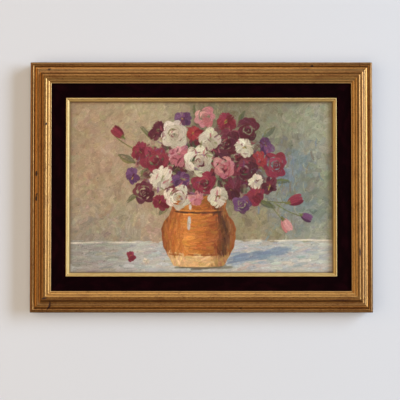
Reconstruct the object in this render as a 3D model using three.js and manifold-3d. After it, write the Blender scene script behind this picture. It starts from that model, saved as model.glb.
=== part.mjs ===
// A framed oil painting that hangs on a wall. A canvas on a keyed wooden stretcher sits behind a gilt
// sight fillet, a velvet-covered liner and a reeded gilt moulding, each of them four mitred lengths.
// Behind are the plates that keep the canvas in and the toothed hanger.
// Millimetres, +Z up, +X to the viewer's right. The picture faces -Y and the wall is the plane y = 0.
// The origin is the middle of the hanger's rear face, where the picture hangs.
import * as THREE from "three";
import { mergeVertices } from "three/addons/utils/BufferGeometryUtils.js";
import Module from "manifold-3d";

const wasm = await Module();
wasm.setup();

// Room between two pieces that touch, and how far a cutter runs past what it cuts
const CLEARANCE = 0.3;
const CUT_MARGIN = 1;

// Canvas, stretched and turned over on to the back of its stretcher
const CANVAS_WIDTH = 410;
const CANVAS_HEIGHT = 270;
const CANVAS_THICKNESS = 0.7;
const TURNOVER_WIDTH = 15;

// Stretcher bars, whose front falls away behind the outer bearing edge
const BAR_WIDTH = 40;
const BAR_DEPTH = 15;
const BAR_BEARING = 8;
const BAR_FALL = 3;
const BAR_EDGE_ROUND = 1.5;

// Stretcher keys, two wedges in each inner corner
const KEY_LENGTH = 30;
const KEY_THICKNESS = 3;
const KEY_TIP_WIDTH = 5;
const KEY_BUTT_WIDTH = 13;
const KEY_SEAT = 9;
const KEY_FIRST_LEVEL = 3;
const KEY_LEVEL_STEP = 4.5;

// How much of the canvas the sight fillet covers at the sides, and at the top and bottom
const SIGHT_OVERLAP_SIDE = 4;
const SIGHT_OVERLAP_TOP = 4.5;

// Gilt sight fillet: a bead beside the velvet and a bevel down to the canvas, on a flat tongue
const FILLET_BEAD_WIDTH = 2.3;
const FILLET_BEAD_SHOULDER = 0.7;
const FILLET_BEAD_BOW = 0.4;
const FILLET_BEVEL_WIDTH = 3;
const FILLET_BEVEL_BOW = 0.12;
const FILLET_QUIRK_WIDTH = 0.5;
const FILLET_QUIRK_DEPTH = 0.6;
const FILLET_LIP = 2.6;
const FILLET_TONGUE = 1.5;

// Velvet-covered liner
const VELVET_WIDTH = 21.8;
const LINER_DEPTH = 12;
const LINER_LIP = 5;
const LINER_REBATE = 2.5;
const LINER_EDGE_ROUND = 1.6;
const LINER_PLAY = 0.5;

// Gilt moulding. Its members run from the sight edge outwards: each has a width, a rise towards the
// viewer, and a bow, the height of its arc as a share of its chord, which is negative in a hollow.
const RAIL_REBATE = 6;
const RAIL_LIP = 1.8;
const QUIRK = { width: 0.6, depth: 0.65 };
const SIGHT_BEAD = { width: 1.6, rise: 0.1, bow: 0.3 };
const SIGHT_SLOPE = { width: 3.7, rise: 2.8, bow: 0.2 };
const INNER_BEAD = { width: 2.7, rise: 2.1, bow: 0.2 };
const CREST = { width: 3.4, rise: 0.3, bow: 0.1 };
const CREST_NOSE = { width: 2.6, rise: -2.6, bow: 0.1 };
const SCOTIA = { width: 4.6, rise: -4.25, bow: -0.14 };
const INNER_REED = { width: 2.4, rise: -0.9, bow: 0.3 };
const OUTER_REED = { width: 4.8, rise: -2.9, bow: 0.12 };
const OUTER_BEAD = { width: 6.2, rise: -1.25, bow: 0.3 };
const BACK_CHAMFER = 0.8;

// Retaining plates, two on each upright rail, and their screws
const PLATE_WIDTH = 12;
const PLATE_THICKNESS = 1;
const PLATE_HOLD = 11;
const PLATE_SCREW_INSET = 19;
const PLATE_SPACING = 150;
const SCREW_RADIUS = 1.6;
const SCREW_LENGTH = 12;
const SCREW_HEAD_RADIUS = 3.4;
const SCREW_HEAD_HEIGHT = 1.5;
const SCREW_SLOT_WIDTH = 0.9;
const SCREW_SLOT_DEPTH = 0.7;
const SCREW_SLOT_TURN = Math.PI / 5;

// Toothed hanger on the back of the top rail, and its nails
const HANGER_DROP = 14;
const HANGER_THICKNESS = 0.9;
const HANGER_RAISE = 2.4;
const HANGER_WIDTH = 9;
const HANGER_TAB = 11;
const HANGER_RAMP = 3;
const HANGER_BRIDGE = 24;
const TOOTH_PITCH = 3;
const TOOTH_DEPTH = 1.4;
const NAIL_RADIUS = 0.8;
const NAIL_LENGTH = 10;
const NAIL_HEAD_RADIUS = 2;
const NAIL_HEAD_HEIGHT = 0.8;

// Share of a screw's or nail's head that is its straight edge, below the dome
const HEAD_EDGE_SHARE = 0.3;

// Facets of a round piece, of a rounded edge or dome, and of one bowed member of a section
const ROUND_SIDES = 20;
const QUARTER_STEPS = 5;
const BOW_STEPS = 8;

// Depths in front of the frame's back plane, stacked from the wall side
const barBack = CANVAS_THICKNESS + CLEARANCE;
const barFront = barBack + BAR_DEPTH;
const canvasFront = barFront + CLEARANCE + CANVAS_THICKNESS;
const filletBack = canvasFront + CLEARANCE;
const linerLipBack = filletBack + FILLET_TONGUE + CLEARANCE;
const linerFront = linerLipBack + LINER_LIP;
const railLipBack = linerFront + CLEARANCE;
const standOff = CLEARANCE + HANGER_RAISE + HANGER_THICKNESS;

// A piece of an outline that starts where the last one ended, with a width, a rise and a bow
const straight = (width, rise) => ({ width, rise, bow: 0 });

// The two sides of the narrow groove between two members
const quirk = ({ width, depth }) => [straight(width / 2, -depth), straight(width / 2, depth)];

const MOULDING = [
  SIGHT_BEAD,
  SIGHT_SLOPE,
  ...quirk(QUIRK),
  INNER_BEAD,
  CREST,
  CREST_NOSE,
  SCOTIA,
  INNER_REED,
  OUTER_REED,
  ...quirk(QUIRK),
  OUTER_BEAD,
];

const railWidth = MOULDING.reduce((sum, member) => sum + member.width, 0);
const filletFace = FILLET_BEAD_WIDTH + FILLET_QUIRK_WIDTH + FILLET_BEVEL_WIDTH;
const filletWidth = LINER_REBATE + filletFace;
const linerWidth = RAIL_REBATE - LINER_PLAY + VELVET_WIDTH;

// Outer sizes of each mitred ring, from the canvas outwards
const sizeOf = (width, height) => ({ width, height });
const grown = (size, by) => sizeOf(size.width + 2 * by, size.height + 2 * by);
const canvas = sizeOf(CANVAS_WIDTH, CANVAS_HEIGHT);
const sight = sizeOf(canvas.width - 2 * SIGHT_OVERLAP_SIDE, canvas.height - 2 * SIGHT_OVERLAP_TOP);
const filletRing = grown(sight, filletWidth);
const linerSight = grown(sight, filletFace + CLEARANCE);
const railSight = grown(linerSight, VELVET_WIDTH);
const linerRing = grown(linerSight, linerWidth);
const railRing = grown(railSight, railWidth);
const barRing = grown(canvas, -CANVAS_THICKNESS - CLEARANCE);

const finish = (color, roughness, metalness) =>
  new THREE.MeshStandardMaterial({ color, roughness, metalness });

const GILT = finish(0x9a6a2a, 0.45, 0.7);
const BRIGHT_GILT = finish(0xd8bd7c, 0.4, 0.7);
const VELVET = finish(0x12020a, 0.95, 0);
const OIL_PAINT = finish(0x9a927e, 0.55, 0);
const PINE = finish(0xc79a62, 0.75, 0);
const BEECH = finish(0xd8b482, 0.7, 0);
const STEEL = finish(0x9a9a96, 0.4, 1);
const BRASS = finish(0xb08a3e, 0.4, 1);

// A closed geometry as a solid that can be cut
function solidOf(geometry) {
  const bare = new THREE.BufferGeometry();
  bare.setAttribute("position", geometry.getAttribute("position"));
  bare.setIndex(geometry.index);
  const merged = mergeVertices(bare, 1e-3);
  return new wasm.Manifold(
    new wasm.Mesh({
      numProp: 3,
      vertProperties: new Float32Array(merged.getAttribute("position").array),
      triVerts: new Uint32Array(merged.index.array),
    }),
  );
}

// A cut solid as a geometry again
function geometryOf(solid) {
  const { vertProperties, triVerts } = solid.getMesh();
  const shared = new THREE.BufferGeometry();
  shared.setAttribute("position", new THREE.BufferAttribute(vertProperties, 3));
  shared.setIndex(new THREE.BufferAttribute(triVerts, 1));
  const flat = shared.toNonIndexed();
  flat.computeVertexNormals();
  return flat;
}

// A geometry with each of the cutters taken out of it
function cut(geometry, cutters) {
  const left = cutters.reduce((solid, cutter) => solid.subtract(solidOf(cutter)), solidOf(geometry));
  return geometryOf(left);
}

// A box between two corners
function boxBetween(low, high) {
  const size = high.clone().sub(low);
  const middle = high.clone().add(low).multiplyScalar(0.5);
  return new THREE.BoxGeometry(size.x, size.y, size.z).translate(middle.x, middle.y, middle.z);
}

// A rod along Y from one depth to another
function rodAlongY(radius, from, to) {
  return new THREE.CylinderGeometry(radius, radius, to - from, ROUND_SIDES).translate(0, (from + to) / 2, 0);
}

// Points from a start along each member in turn, with a bowed member as a circular arc
function follow(start, members, direction = 1) {
  const points = [start];
  for (const { width, rise, bow } of members) {
    const from = points[points.length - 1];
    const to = new THREE.Vector2(from.x + direction * width, from.y + rise);
    const chord = to.clone().sub(from);
    const normal = new THREE.Vector2(-chord.y, chord.x).multiplyScalar(direction);
    if (bow !== 0) {
      const halfAngle = 2 * Math.atan(2 * bow);
      const radius = 0.5 / Math.sin(halfAngle);
      for (let step = 1; step < BOW_STEPS; step++) {
        const angle = halfAngle * ((2 * step) / BOW_STEPS - 1);
        const along = 0.5 + radius * Math.sin(angle);
        const height = radius * (Math.cos(angle) - Math.cos(halfAngle));
        points.push(from.clone().addScaledVector(chord, along).addScaledVector(normal, height));
      }
    }
    points.push(to);
  }
  return points;
}

// Sections: x is the distance inwards from the outer edge, y the depth in front of the frame's back
function railSection() {
  const lipFront = railLipBack + RAIL_LIP;
  const face = follow(new THREE.Vector2(railWidth, lipFront), MOULDING, -1);
  return new THREE.Shape([
    ...face,
    new THREE.Vector2(0, BACK_CHAMFER),
    new THREE.Vector2(BACK_CHAMFER, 0),
    new THREE.Vector2(railWidth - RAIL_REBATE, 0),
    new THREE.Vector2(railWidth - RAIL_REBATE, railLipBack),
    new THREE.Vector2(railWidth, railLipBack),
  ]);
}

function linerSection() {
  const back = linerFront - LINER_DEPTH;
  const shape = new THREE.Shape();
  shape.moveTo(0, back);
  shape.lineTo(linerWidth - LINER_REBATE, back);
  shape.lineTo(linerWidth - LINER_REBATE, linerLipBack);
  shape.lineTo(linerWidth, linerLipBack);
  shape.lineTo(linerWidth, linerFront - LINER_EDGE_ROUND);
  shape.absarc(
    linerWidth - LINER_EDGE_ROUND,
    linerFront - LINER_EDGE_ROUND,
    LINER_EDGE_ROUND,
    0,
    Math.PI / 2,
    false,
  );
  shape.lineTo(0, linerFront);
  return shape;
}

function filletSection() {
  const shoulder = linerFront + FILLET_BEAD_SHOULDER;
  const lip = filletBack + FILLET_LIP;
  const face = follow(new THREE.Vector2(LINER_REBATE, shoulder), [
    { width: FILLET_BEAD_WIDTH, rise: 0, bow: FILLET_BEAD_BOW },
    ...quirk({ width: FILLET_QUIRK_WIDTH, depth: FILLET_QUIRK_DEPTH }),
    { width: FILLET_BEVEL_WIDTH, rise: lip - shoulder, bow: FILLET_BEVEL_BOW },
  ]);
  return new THREE.Shape([
    new THREE.Vector2(0, filletBack),
    new THREE.Vector2(0, filletBack + FILLET_TONGUE),
    new THREE.Vector2(LINER_REBATE, filletBack + FILLET_TONGUE),
    ...face,
    new THREE.Vector2(filletWidth, filletBack),
  ]);
}

function barSection() {
  const shape = new THREE.Shape();
  shape.moveTo(0, barBack);
  shape.lineTo(BAR_WIDTH, barBack);
  shape.lineTo(BAR_WIDTH, barFront - BAR_FALL);
  shape.lineTo(BAR_BEARING, barFront);
  shape.lineTo(BAR_EDGE_ROUND, barFront);
  shape.absarc(BAR_EDGE_ROUND, barFront - BAR_EDGE_ROUND, BAR_EDGE_ROUND, Math.PI / 2, Math.PI, false);
  return shape;
}

// A section run along X with a mitre at both ends: its outer edge lies on z = 0 and its back on y = 0
function mitredLength(section, outerLength) {
  const geometry = new THREE.ExtrudeGeometry(section, { depth: 1, bevelEnabled: false, curveSegments: QUARTER_STEPS });
  const position = geometry.getAttribute("position");
  const trim = CLEARANCE / Math.SQRT2;
  for (let i = 0; i < position.count; i++) {
    const inwards = position.getX(i);
    const depth = position.getY(i);
    const end = position.getZ(i) > 0.5 ? -1 : 1;
    position.setXYZ(i, end * (outerLength / 2 - inwards - trim), -depth, -inwards);
  }
  geometry.computeVertexNormals();
  return geometry;
}

// The four sides. A side's ends are named as they lie once the side is turned into its place.
const SIDES = [
  { side: "top", turn: 0, upright: false, endNames: ["left", "right"] },
  { side: "right", turn: Math.PI / 2, upright: true, endNames: ["upper", "lower"] },
  { side: "bottom", turn: Math.PI, upright: false, endNames: ["right", "left"] },
  { side: "left", turn: -Math.PI / 2, upright: true, endNames: ["lower", "upper"] },
];
const ENDS = [-1, 1];
const endName = (place, end) => place.endNames[end < 0 ? 0 : 1];

// A group for what is built as the top side, turned to the side that it belongs to. Its origin is the
// middle of that side's outer edge in a ring of the given size.
function sideGroup({ turn, upright }, ring) {
  const mount = new THREE.Group();
  mount.position.z = (upright ? ring.width : ring.height) / 2;
  const turned = new THREE.Group();
  turned.rotation.y = turn;
  turned.add(mount);
  return { turned, mount };
}

function named(name, geometry, material) {
  const mesh = new THREE.Mesh(geometry, material);
  mesh.name = name;
  return mesh;
}

// Four mitred lengths. cuttersFor gives what is cut out of a side's length, in that length's own frame.
function ring(prefix, section, size, material, cuttersFor = () => []) {
  const group = new THREE.Group();
  for (const place of SIDES) {
    const length = mitredLength(section, place.upright ? size.height : size.width);
    const cutters = cuttersFor(place);
    const { turned, mount } = sideGroup(place, size);
    const geometry = cutters.length ? cut(length, cutters) : length;
    mount.add(named(`${prefix}_${place.side}`, geometry, material));
    group.add(turned);
  }
  return group;
}

// How far the retaining plates and the hanger's nails lie from the middle of their side
const plateAlong = PLATE_SPACING / 2;
const nailAlong = HANGER_BRIDGE / 2 + HANGER_RAMP + HANGER_TAB / 2;

function railCutters({ side, upright }) {
  const hole = (radius, length, along, inset) =>
    rodAlongY(radius + CLEARANCE, -length - CLEARANCE, CUT_MARGIN).translate(along, 0, -inset);
  if (upright) {
    return ENDS.map((end) => hole(SCREW_RADIUS, SCREW_LENGTH, end * plateAlong, PLATE_SCREW_INSET));
  }
  if (side === "top") {
    return ENDS.map((end) => hole(NAIL_RADIUS, NAIL_LENGTH, end * nailAlong, HANGER_DROP));
  }
  return [];
}

// A key as a wedge along +X from its tip, with its straight edge on z = 0 and its body below it
function keyOutline() {
  return new THREE.Shape([
    new THREE.Vector2(0, 0),
    new THREE.Vector2(KEY_LENGTH, 0),
    new THREE.Vector2(KEY_LENGTH, -KEY_BUTT_WIDTH),
    new THREE.Vector2(0, -KEY_TIP_WIDTH),
  ]);
}

// An outline drawn in x and z, made into a plate between two depths in front of the frame's back
function plateBetween(outline, back, front) {
  return new THREE.ExtrudeGeometry(outline, {
    depth: front - back,
    bevelEnabled: false,
    curveSegments: ROUND_SIDES / 2,
  })
    .rotateX(Math.PI / 2)
    .translate(0, -back, 0);
}

const keyLevel = (upright) => KEY_FIRST_LEVEL + (upright ? KEY_LEVEL_STEP : 0);

// Slots near both ends of a bar, each open to its inner edge, that take the tips of the keys which
// run along the two bars beside it
function barCutters({ upright }) {
  const length = upright ? barRing.height : barRing.width;
  const inner = length / 2 - BAR_WIDTH;
  const level = keyLevel(!upright);
  const widthAtMouth = KEY_TIP_WIDTH + ((KEY_BUTT_WIDTH - KEY_TIP_WIDTH) * KEY_SEAT) / KEY_LENGTH;
  const front = -(level + KEY_THICKNESS + CLEARANCE);
  const back = -(level - CLEARANCE);
  const floor = -BAR_WIDTH + KEY_SEAT + CLEARANCE;
  return ENDS.map((end) => {
    const near = end * inner;
    const far = end * (inner - widthAtMouth - 2 * CLEARANCE);
    return boxBetween(
      new THREE.Vector3(Math.min(near, far), front, -BAR_WIDTH - CUT_MARGIN),
      new THREE.Vector3(Math.max(near, far), back, floor),
    );
  });
}

// Two keys for each side, one at either end, lying against its inner edge with the tip in the next bar
function keys() {
  const group = new THREE.Group();
  for (const place of SIDES) {
    const { turned, mount } = sideGroup(place, barRing);
    const length = place.upright ? barRing.height : barRing.width;
    const level = keyLevel(place.upright);
    for (const end of ENDS) {
      const wedge = plateBetween(keyOutline(), level, level + KEY_THICKNESS);
      const key = named(`stretcher_key_${place.side}_${endName(place, end)}`, wedge, BEECH);
      if (end > 0) {
        // The other end's wedge is the same one turned over, so that its straight edge stays on the bar
        key.rotation.z = Math.PI;
        key.position.y = -(2 * level + KEY_THICKNESS);
      }
      key.position.x = end * (length / 2 - BAR_WIDTH + KEY_SEAT);
      key.position.z = -BAR_WIDTH - CLEARANCE;
      mount.add(key);
    }
    group.add(turned);
  }
  return group;
}

// The canvas: a front sheet with its edges turned round the stretcher and on to its back
function canvasSheet() {
  const half = (size, depth) => new THREE.Vector3(size.width / 2, depth, size.height / 2);
  const block = (size, back, front) =>
    boxBetween(half(size, -front).multiply(new THREE.Vector3(-1, 1, -1)), half(size, -back));
  const whole = block(canvas, 0, canvasFront);
  const inside = block(grown(canvas, -CANVAS_THICKNESS), CANVAS_THICKNESS, canvasFront - CANVAS_THICKNESS);
  const behind = block(grown(canvas, -TURNOVER_WIDTH), -CUT_MARGIN, 2 * CANVAS_THICKNESS);
  return named("painted_canvas", cut(whole, [inside, behind]), OIL_PAINT);
}

// A dome-headed fastener along Y, with its pointed shank in front of y = 0 and its head behind it
function fastener(shankRadius, shankLength, headRadius, headHeight) {
  const edge = headHeight * HEAD_EDGE_SHARE;
  const dome = Array.from({ length: QUARTER_STEPS }, (_, step) => {
    const angle = (Math.PI / 2) * (step / QUARTER_STEPS);
    return new THREE.Vector2(
      headRadius * Math.cos(angle),
      edge + (headHeight - edge) * Math.sin(angle),
    );
  });
  const profile = [
    new THREE.Vector2(0, -shankLength),
    new THREE.Vector2(shankRadius, -shankLength + shankRadius),
    new THREE.Vector2(shankRadius, 0),
    new THREE.Vector2(headRadius, 0),
    ...dome,
    new THREE.Vector2(0, headHeight),
  ];
  return new THREE.LatheGeometry(profile, ROUND_SIDES);
}

// A flat plate with round ends, screwed to the rail and reaching over the back of the canvas
function retainingPlateOutline(reach) {
  const radius = PLATE_WIDTH / 2;
  const shape = new THREE.Shape();
  shape.absarc(0, 0, radius, 0, Math.PI, false);
  shape.lineTo(-radius, -reach + radius);
  shape.absarc(0, -reach + radius, radius, Math.PI, 2 * Math.PI, false);
  const hole = new THREE.Path();
  hole.absarc(0, 0, SCREW_RADIUS + CLEARANCE, 0, 2 * Math.PI, true);
  shape.holes.push(hole);
  return shape;
}

function retainers() {
  const group = new THREE.Group();
  const canvasInset = (railRing.width - canvas.width) / 2;
  const reach = canvasInset + PLATE_HOLD - PLATE_SCREW_INSET;
  const plateBack = CLEARANCE + PLATE_THICKNESS;
  for (const place of SIDES.filter(({ upright }) => upright)) {
    const { turned, mount } = sideGroup(place, railRing);
    for (const end of ENDS) {
      const word = endName(place, end);
      const outline = retainingPlateOutline(reach);
      const plate = named(
        `retaining_plate_${place.side}_${word}`,
        plateBetween(outline, -plateBack, -CLEARANCE),
        STEEL,
      );
      const head = fastener(
        SCREW_RADIUS,
        SCREW_LENGTH + plateBack,
        SCREW_HEAD_RADIUS,
        SCREW_HEAD_HEIGHT,
      );
      const slot = new THREE.BoxGeometry(3 * SCREW_HEAD_RADIUS, 2 * SCREW_SLOT_DEPTH, SCREW_SLOT_WIDTH)
        .rotateY(SCREW_SLOT_TURN)
        .translate(0, SCREW_HEAD_HEIGHT, 0);
      const screw = named(`plate_screw_${place.side}_${word}`, cut(head, [slot]), STEEL);
      for (const piece of [plate, screw]) {
        piece.position.set(end * plateAlong, 0, -PLATE_SCREW_INSET);
      }
      screw.position.y = plateBack + CLEARANCE;
      mount.add(plate, screw);
    }
    group.add(turned);
  }
  return group;
}

// The hanger: a strip whose middle stands off the rail, with teeth along the bridge's lower edge
function hanger() {
  const rise = HANGER_RAISE;
  const members = [
    straight(HANGER_TAB, 0),
    straight(HANGER_RAMP, rise),
    straight(HANGER_BRIDGE, 0),
    straight(HANGER_RAMP, -rise),
    straight(HANGER_TAB, 0),
  ];
  const half = HANGER_BRIDGE / 2 + HANGER_RAMP + HANGER_TAB;
  const underside = follow(new THREE.Vector2(-half, CLEARANCE), members);
  const outside = follow(new THREE.Vector2(-half, CLEARANCE + HANGER_THICKNESS), members).reverse();
  const strip = new THREE.ExtrudeGeometry(new THREE.Shape([...underside, ...outside]), {
    depth: HANGER_WIDTH,
    bevelEnabled: false,
  }).translate(0, 0, -HANGER_WIDTH / 2);
  const toothCount = Math.floor(HANGER_BRIDGE / TOOTH_PITCH);
  const tooth = new THREE.Shape([
    new THREE.Vector2(-TOOTH_PITCH / 2, -CUT_MARGIN),
    new THREE.Vector2(TOOTH_PITCH / 2, -CUT_MARGIN),
    new THREE.Vector2(0, TOOTH_DEPTH),
  ]);
  const notches = Array.from({ length: toothCount }, (_, i) =>
    plateBetween(tooth, -standOff - CUT_MARGIN, CUT_MARGIN).translate(
      (i - (toothCount - 1) / 2) * TOOTH_PITCH,
      0,
      -HANGER_WIDTH / 2,
    ),
  );
  const holes = ENDS.map((end) =>
    rodAlongY(NAIL_RADIUS + CLEARANCE, -CUT_MARGIN, standOff + CUT_MARGIN).translate(end * nailAlong, 0, 0),
  );
  return named("hanger", cut(strip, [...notches, ...holes]), BRASS);
}

function hangerWithNails() {
  const { turned, mount } = sideGroup(SIDES[0], railRing);
  const fittings = new THREE.Group();
  fittings.position.z = -HANGER_DROP;
  fittings.add(hanger());
  const tabBack = CLEARANCE + HANGER_THICKNESS;
  for (const end of ENDS) {
    const nail = named(
      `hanger_nail_${endName(SIDES[0], end)}`,
      fastener(NAIL_RADIUS, NAIL_LENGTH + tabBack, NAIL_HEAD_RADIUS, NAIL_HEAD_HEIGHT),
      STEEL,
    );
    nail.position.set(end * nailAlong, tabBack + CLEARANCE, 0);
    fittings.add(nail);
  }
  mount.add(fittings);
  return turned;
}

const picture = new THREE.Group();
picture.add(
  ring("frame_rail", railSection(), railRing, GILT, railCutters),
  ring("velvet_liner", linerSection(), linerRing, VELVET),
  ring("sight_fillet", filletSection(), filletRing, BRIGHT_GILT),
  ring("stretcher_bar", barSection(), barRing, PINE, barCutters),
  keys(),
  canvasSheet(),
  retainers(),
  hangerWithNails(),
);
picture.position.set(0, -standOff, HANGER_DROP - railRing.height / 2);

const framedPainting = new THREE.Group();
framedPainting.add(picture);

export default framedPainting;
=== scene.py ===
"""Dressed model of a framed oil painting: gilt moulding, velvet liner, bright fillet, canvas and paint.

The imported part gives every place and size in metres, with +Z up and the picture facing -Y.
Sections, brush pulls and other small sizes are written here in millimetres.
"""

import logging
import math
from dataclasses import dataclass, replace
from enum import Enum

import bmesh
import bpy
import numpy as np
from mathutils import Matrix, Vector


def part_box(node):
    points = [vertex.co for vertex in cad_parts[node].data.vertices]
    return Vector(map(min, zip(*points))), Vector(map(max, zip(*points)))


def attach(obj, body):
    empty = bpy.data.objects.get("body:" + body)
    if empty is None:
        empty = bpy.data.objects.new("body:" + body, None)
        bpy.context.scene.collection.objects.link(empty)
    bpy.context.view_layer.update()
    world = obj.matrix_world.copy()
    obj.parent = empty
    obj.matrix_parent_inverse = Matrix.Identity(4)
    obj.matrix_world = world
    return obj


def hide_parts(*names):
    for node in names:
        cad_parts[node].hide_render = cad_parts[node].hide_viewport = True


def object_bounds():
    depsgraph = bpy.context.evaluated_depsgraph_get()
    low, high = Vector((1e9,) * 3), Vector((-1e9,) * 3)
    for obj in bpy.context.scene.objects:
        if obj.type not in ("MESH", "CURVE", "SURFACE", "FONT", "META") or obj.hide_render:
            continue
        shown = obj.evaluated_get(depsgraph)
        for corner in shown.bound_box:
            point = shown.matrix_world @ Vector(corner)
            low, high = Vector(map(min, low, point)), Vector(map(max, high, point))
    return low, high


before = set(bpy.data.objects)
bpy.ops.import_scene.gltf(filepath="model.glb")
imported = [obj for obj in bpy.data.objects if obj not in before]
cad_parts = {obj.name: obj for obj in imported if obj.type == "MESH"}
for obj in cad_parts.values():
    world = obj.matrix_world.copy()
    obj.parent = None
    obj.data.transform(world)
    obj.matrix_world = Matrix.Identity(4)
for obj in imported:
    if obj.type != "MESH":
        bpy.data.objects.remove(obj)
cad_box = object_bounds()

log = logging.getLogger("framed_painting")

MM = 0.001
BODY = "root"
BAKE_MAP = "OFBake"
END_STRIP = 0.015

Socket = bpy.types.NodeSocket
Display = tuple[int, int, int]
Point = tuple[float, float]


def linear_parts(parts: np.ndarray) -> np.ndarray:
    """Turns display values from 0 to 1 into linear ones."""
    return np.where(parts <= 0.04045, parts / 12.92, ((parts + 0.055) / 1.055) ** 2.4)


def linear(display: Display) -> tuple[float, ...]:
    """Gives the linear colour, with an alpha of 1, for a display colour from 0 to 255."""
    return (*linear_parts(np.array(display) / 255.0).tolist(), 1.0)


def linked(name: str, data: bpy.types.ID) -> bpy.types.Object:
    """Makes an object of a mesh, lamp or camera in the scene."""
    made = bpy.data.objects.new(name, data)
    bpy.context.scene.collection.objects.link(made)
    return made


def write_field(mesh: bpy.types.Mesh, name: str, values: np.ndarray) -> None:
    """Writes one number for each point of a mesh."""
    mesh.attributes.new(name, "FLOAT", "POINT").data.foreach_set("value", values.astype(np.float32))


class Side(Enum):
    """The four sides of an oblong ring, each with its turn about +Y from the top one."""

    TOP = ("top", 0.0)
    RIGHT = ("right", math.pi / 2)
    BOTTOM = ("bottom", math.pi)
    LEFT = ("left", -math.pi / 2)

    @property
    def word(self) -> str:
        """The side's word in the names of pieces."""
        return self.value[0]

    @property
    def turn(self) -> float:
        """The side's turn about +Y, in radians."""
        return self.value[1]

    @property
    def upright(self) -> bool:
        """Whether the side runs up and down."""
        return self in (Side.RIGHT, Side.LEFT)


@dataclass(frozen=True)
class Ring:
    """Outer size of an oblong ring of four mitred lengths, in metres."""

    width: float
    height: float

    def length(self, side: Side) -> float:
        """Gives the outer length of one side."""
        return self.height if side.upright else self.width

    def reach(self, side: Side) -> float:
        """Gives how far a side's outer edge lies from the picture's centre."""
        return 0.5 * (self.width if side.upright else self.height)


@dataclass(frozen=True)
class Layout:
    """Places of the main rings, in metres.

    Attributes:
        back: Height along Y of the frame's back plane.
        centre: Height of the picture's centre.
        rails: Ring of the gilt rails.
        liner: Ring of the velvet liner.
        fillet: Ring of the bright fillet at the sight edge.
        canvas: Outer size of the stretched canvas.
        canvas_depth: How far the canvas's face lies in front of the back plane.
    """

    back: float
    centre: float
    rails: Ring
    liner: Ring
    fillet: Ring
    canvas: Ring
    canvas_depth: float

    @classmethod
    def read(cls) -> "Layout":
        """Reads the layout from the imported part."""
        _, rail_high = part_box("frame_rail_top")
        bottom_low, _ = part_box("frame_rail_bottom")
        canvas_low, canvas_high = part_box("painted_canvas")
        return cls(
            back=rail_high.y,
            centre=0.5 * (rail_high.z + bottom_low.z),
            rails=cls._ring("frame_rail"),
            liner=cls._ring("velvet_liner"),
            fillet=cls._ring("sight_fillet"),
            canvas=Ring(canvas_high.x - canvas_low.x, canvas_high.z - canvas_low.z),
            canvas_depth=rail_high.y - canvas_low.y,
        )

    @staticmethod
    def _ring(prefix: str) -> Ring:
        """Gives the outer size of the ring whose sides' names start with a prefix."""
        top_low, top_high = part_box(f"{prefix}_top")
        bottom_low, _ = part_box(f"{prefix}_bottom")
        return Ring(top_high.x - top_low.x, top_high.z - bottom_low.z)

    def side_place(self, side: Side, ring: Ring) -> Matrix:
        """Gives the placing of a side that was made with its outer edge on the X axis."""
        centre = Matrix.Translation((0.0, self.back, self.centre))
        outwards = Matrix.Translation((0.0, 0.0, ring.reach(side)))
        return centre @ Matrix.Rotation(side.turn, 4, "Y") @ outwards


class NodeSheet:
    """A node tree under construction, for geometry or for a material."""

    def __init__(self, tree: bpy.types.NodeTree) -> None:
        """Takes the tree to fill."""
        self.tree = tree

    def add(self, kind: str, settings: dict | None = None, inputs: dict | None = None) -> bpy.types.Node:
        """Adds a node, sets it and joins its inputs.

        Args:
            kind: Type name of the node.
            settings: Properties of the node by name.
            inputs: Values or sockets by the name or index of the node's input.

        Returns:
            The new node.
        """
        node = self.tree.nodes.new(kind)
        for name, value in (settings or {}).items():
            setattr(node, name, value)
        for key, value in (inputs or {}).items():
            if isinstance(value, Socket):
                self.tree.links.new(value, node.inputs[key])
            else:
                node.inputs[key].default_value = value
        return node

    def math(self, operation: str, first: Socket | float, second: Socket | float = 0.0) -> Socket:
        """Works out one operation on two numbers and gives the result's socket."""
        return self.add("ShaderNodeMath", {"operation": operation}, {0: first, 1: second}).outputs[0]

    def times(self, first: Socket | float, second: Socket | float) -> Socket:
        """Multiplies two numbers and gives the result's socket."""
        return self.math("MULTIPLY", first, second)

    def parts(self, vector: Socket) -> bpy.types.bpy_prop_collection:
        """Gives the sockets of a vector's three parts."""
        return self.add("ShaderNodeSeparateXYZ", inputs={0: vector}).outputs

    def joined(self, x: Socket | float, y: Socket | float, z: Socket | float) -> Socket:
        """Joins three numbers to a vector."""
        return self.add("ShaderNodeCombineXYZ", inputs={"X": x, "Y": y, "Z": z}).outputs[0]

    def noise(
        self,
        place: Socket,
        scale: float | Socket,
        detail: float = 3.0,
        roughness: float = 0.55,
        seed: float | Socket = 0.0,
    ) -> Socket:
        """Gives smooth noise around 0.5."""
        values = {"Vector": place, "W": seed, "Scale": scale, "Detail": detail, "Roughness": roughness}
        return self.add("ShaderNodeTexNoise", {"noise_dimensions": "4D"}, values).outputs[0]

    def stretched(self, place: Socket, scale: tuple[float, float, float]) -> Socket:
        """Gives a place with each of its axes scaled."""
        settings = {"operation": "MULTIPLY"}
        return self.add("ShaderNodeVectorMath", settings, {0: place, 1: scale}).outputs[0]


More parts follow.
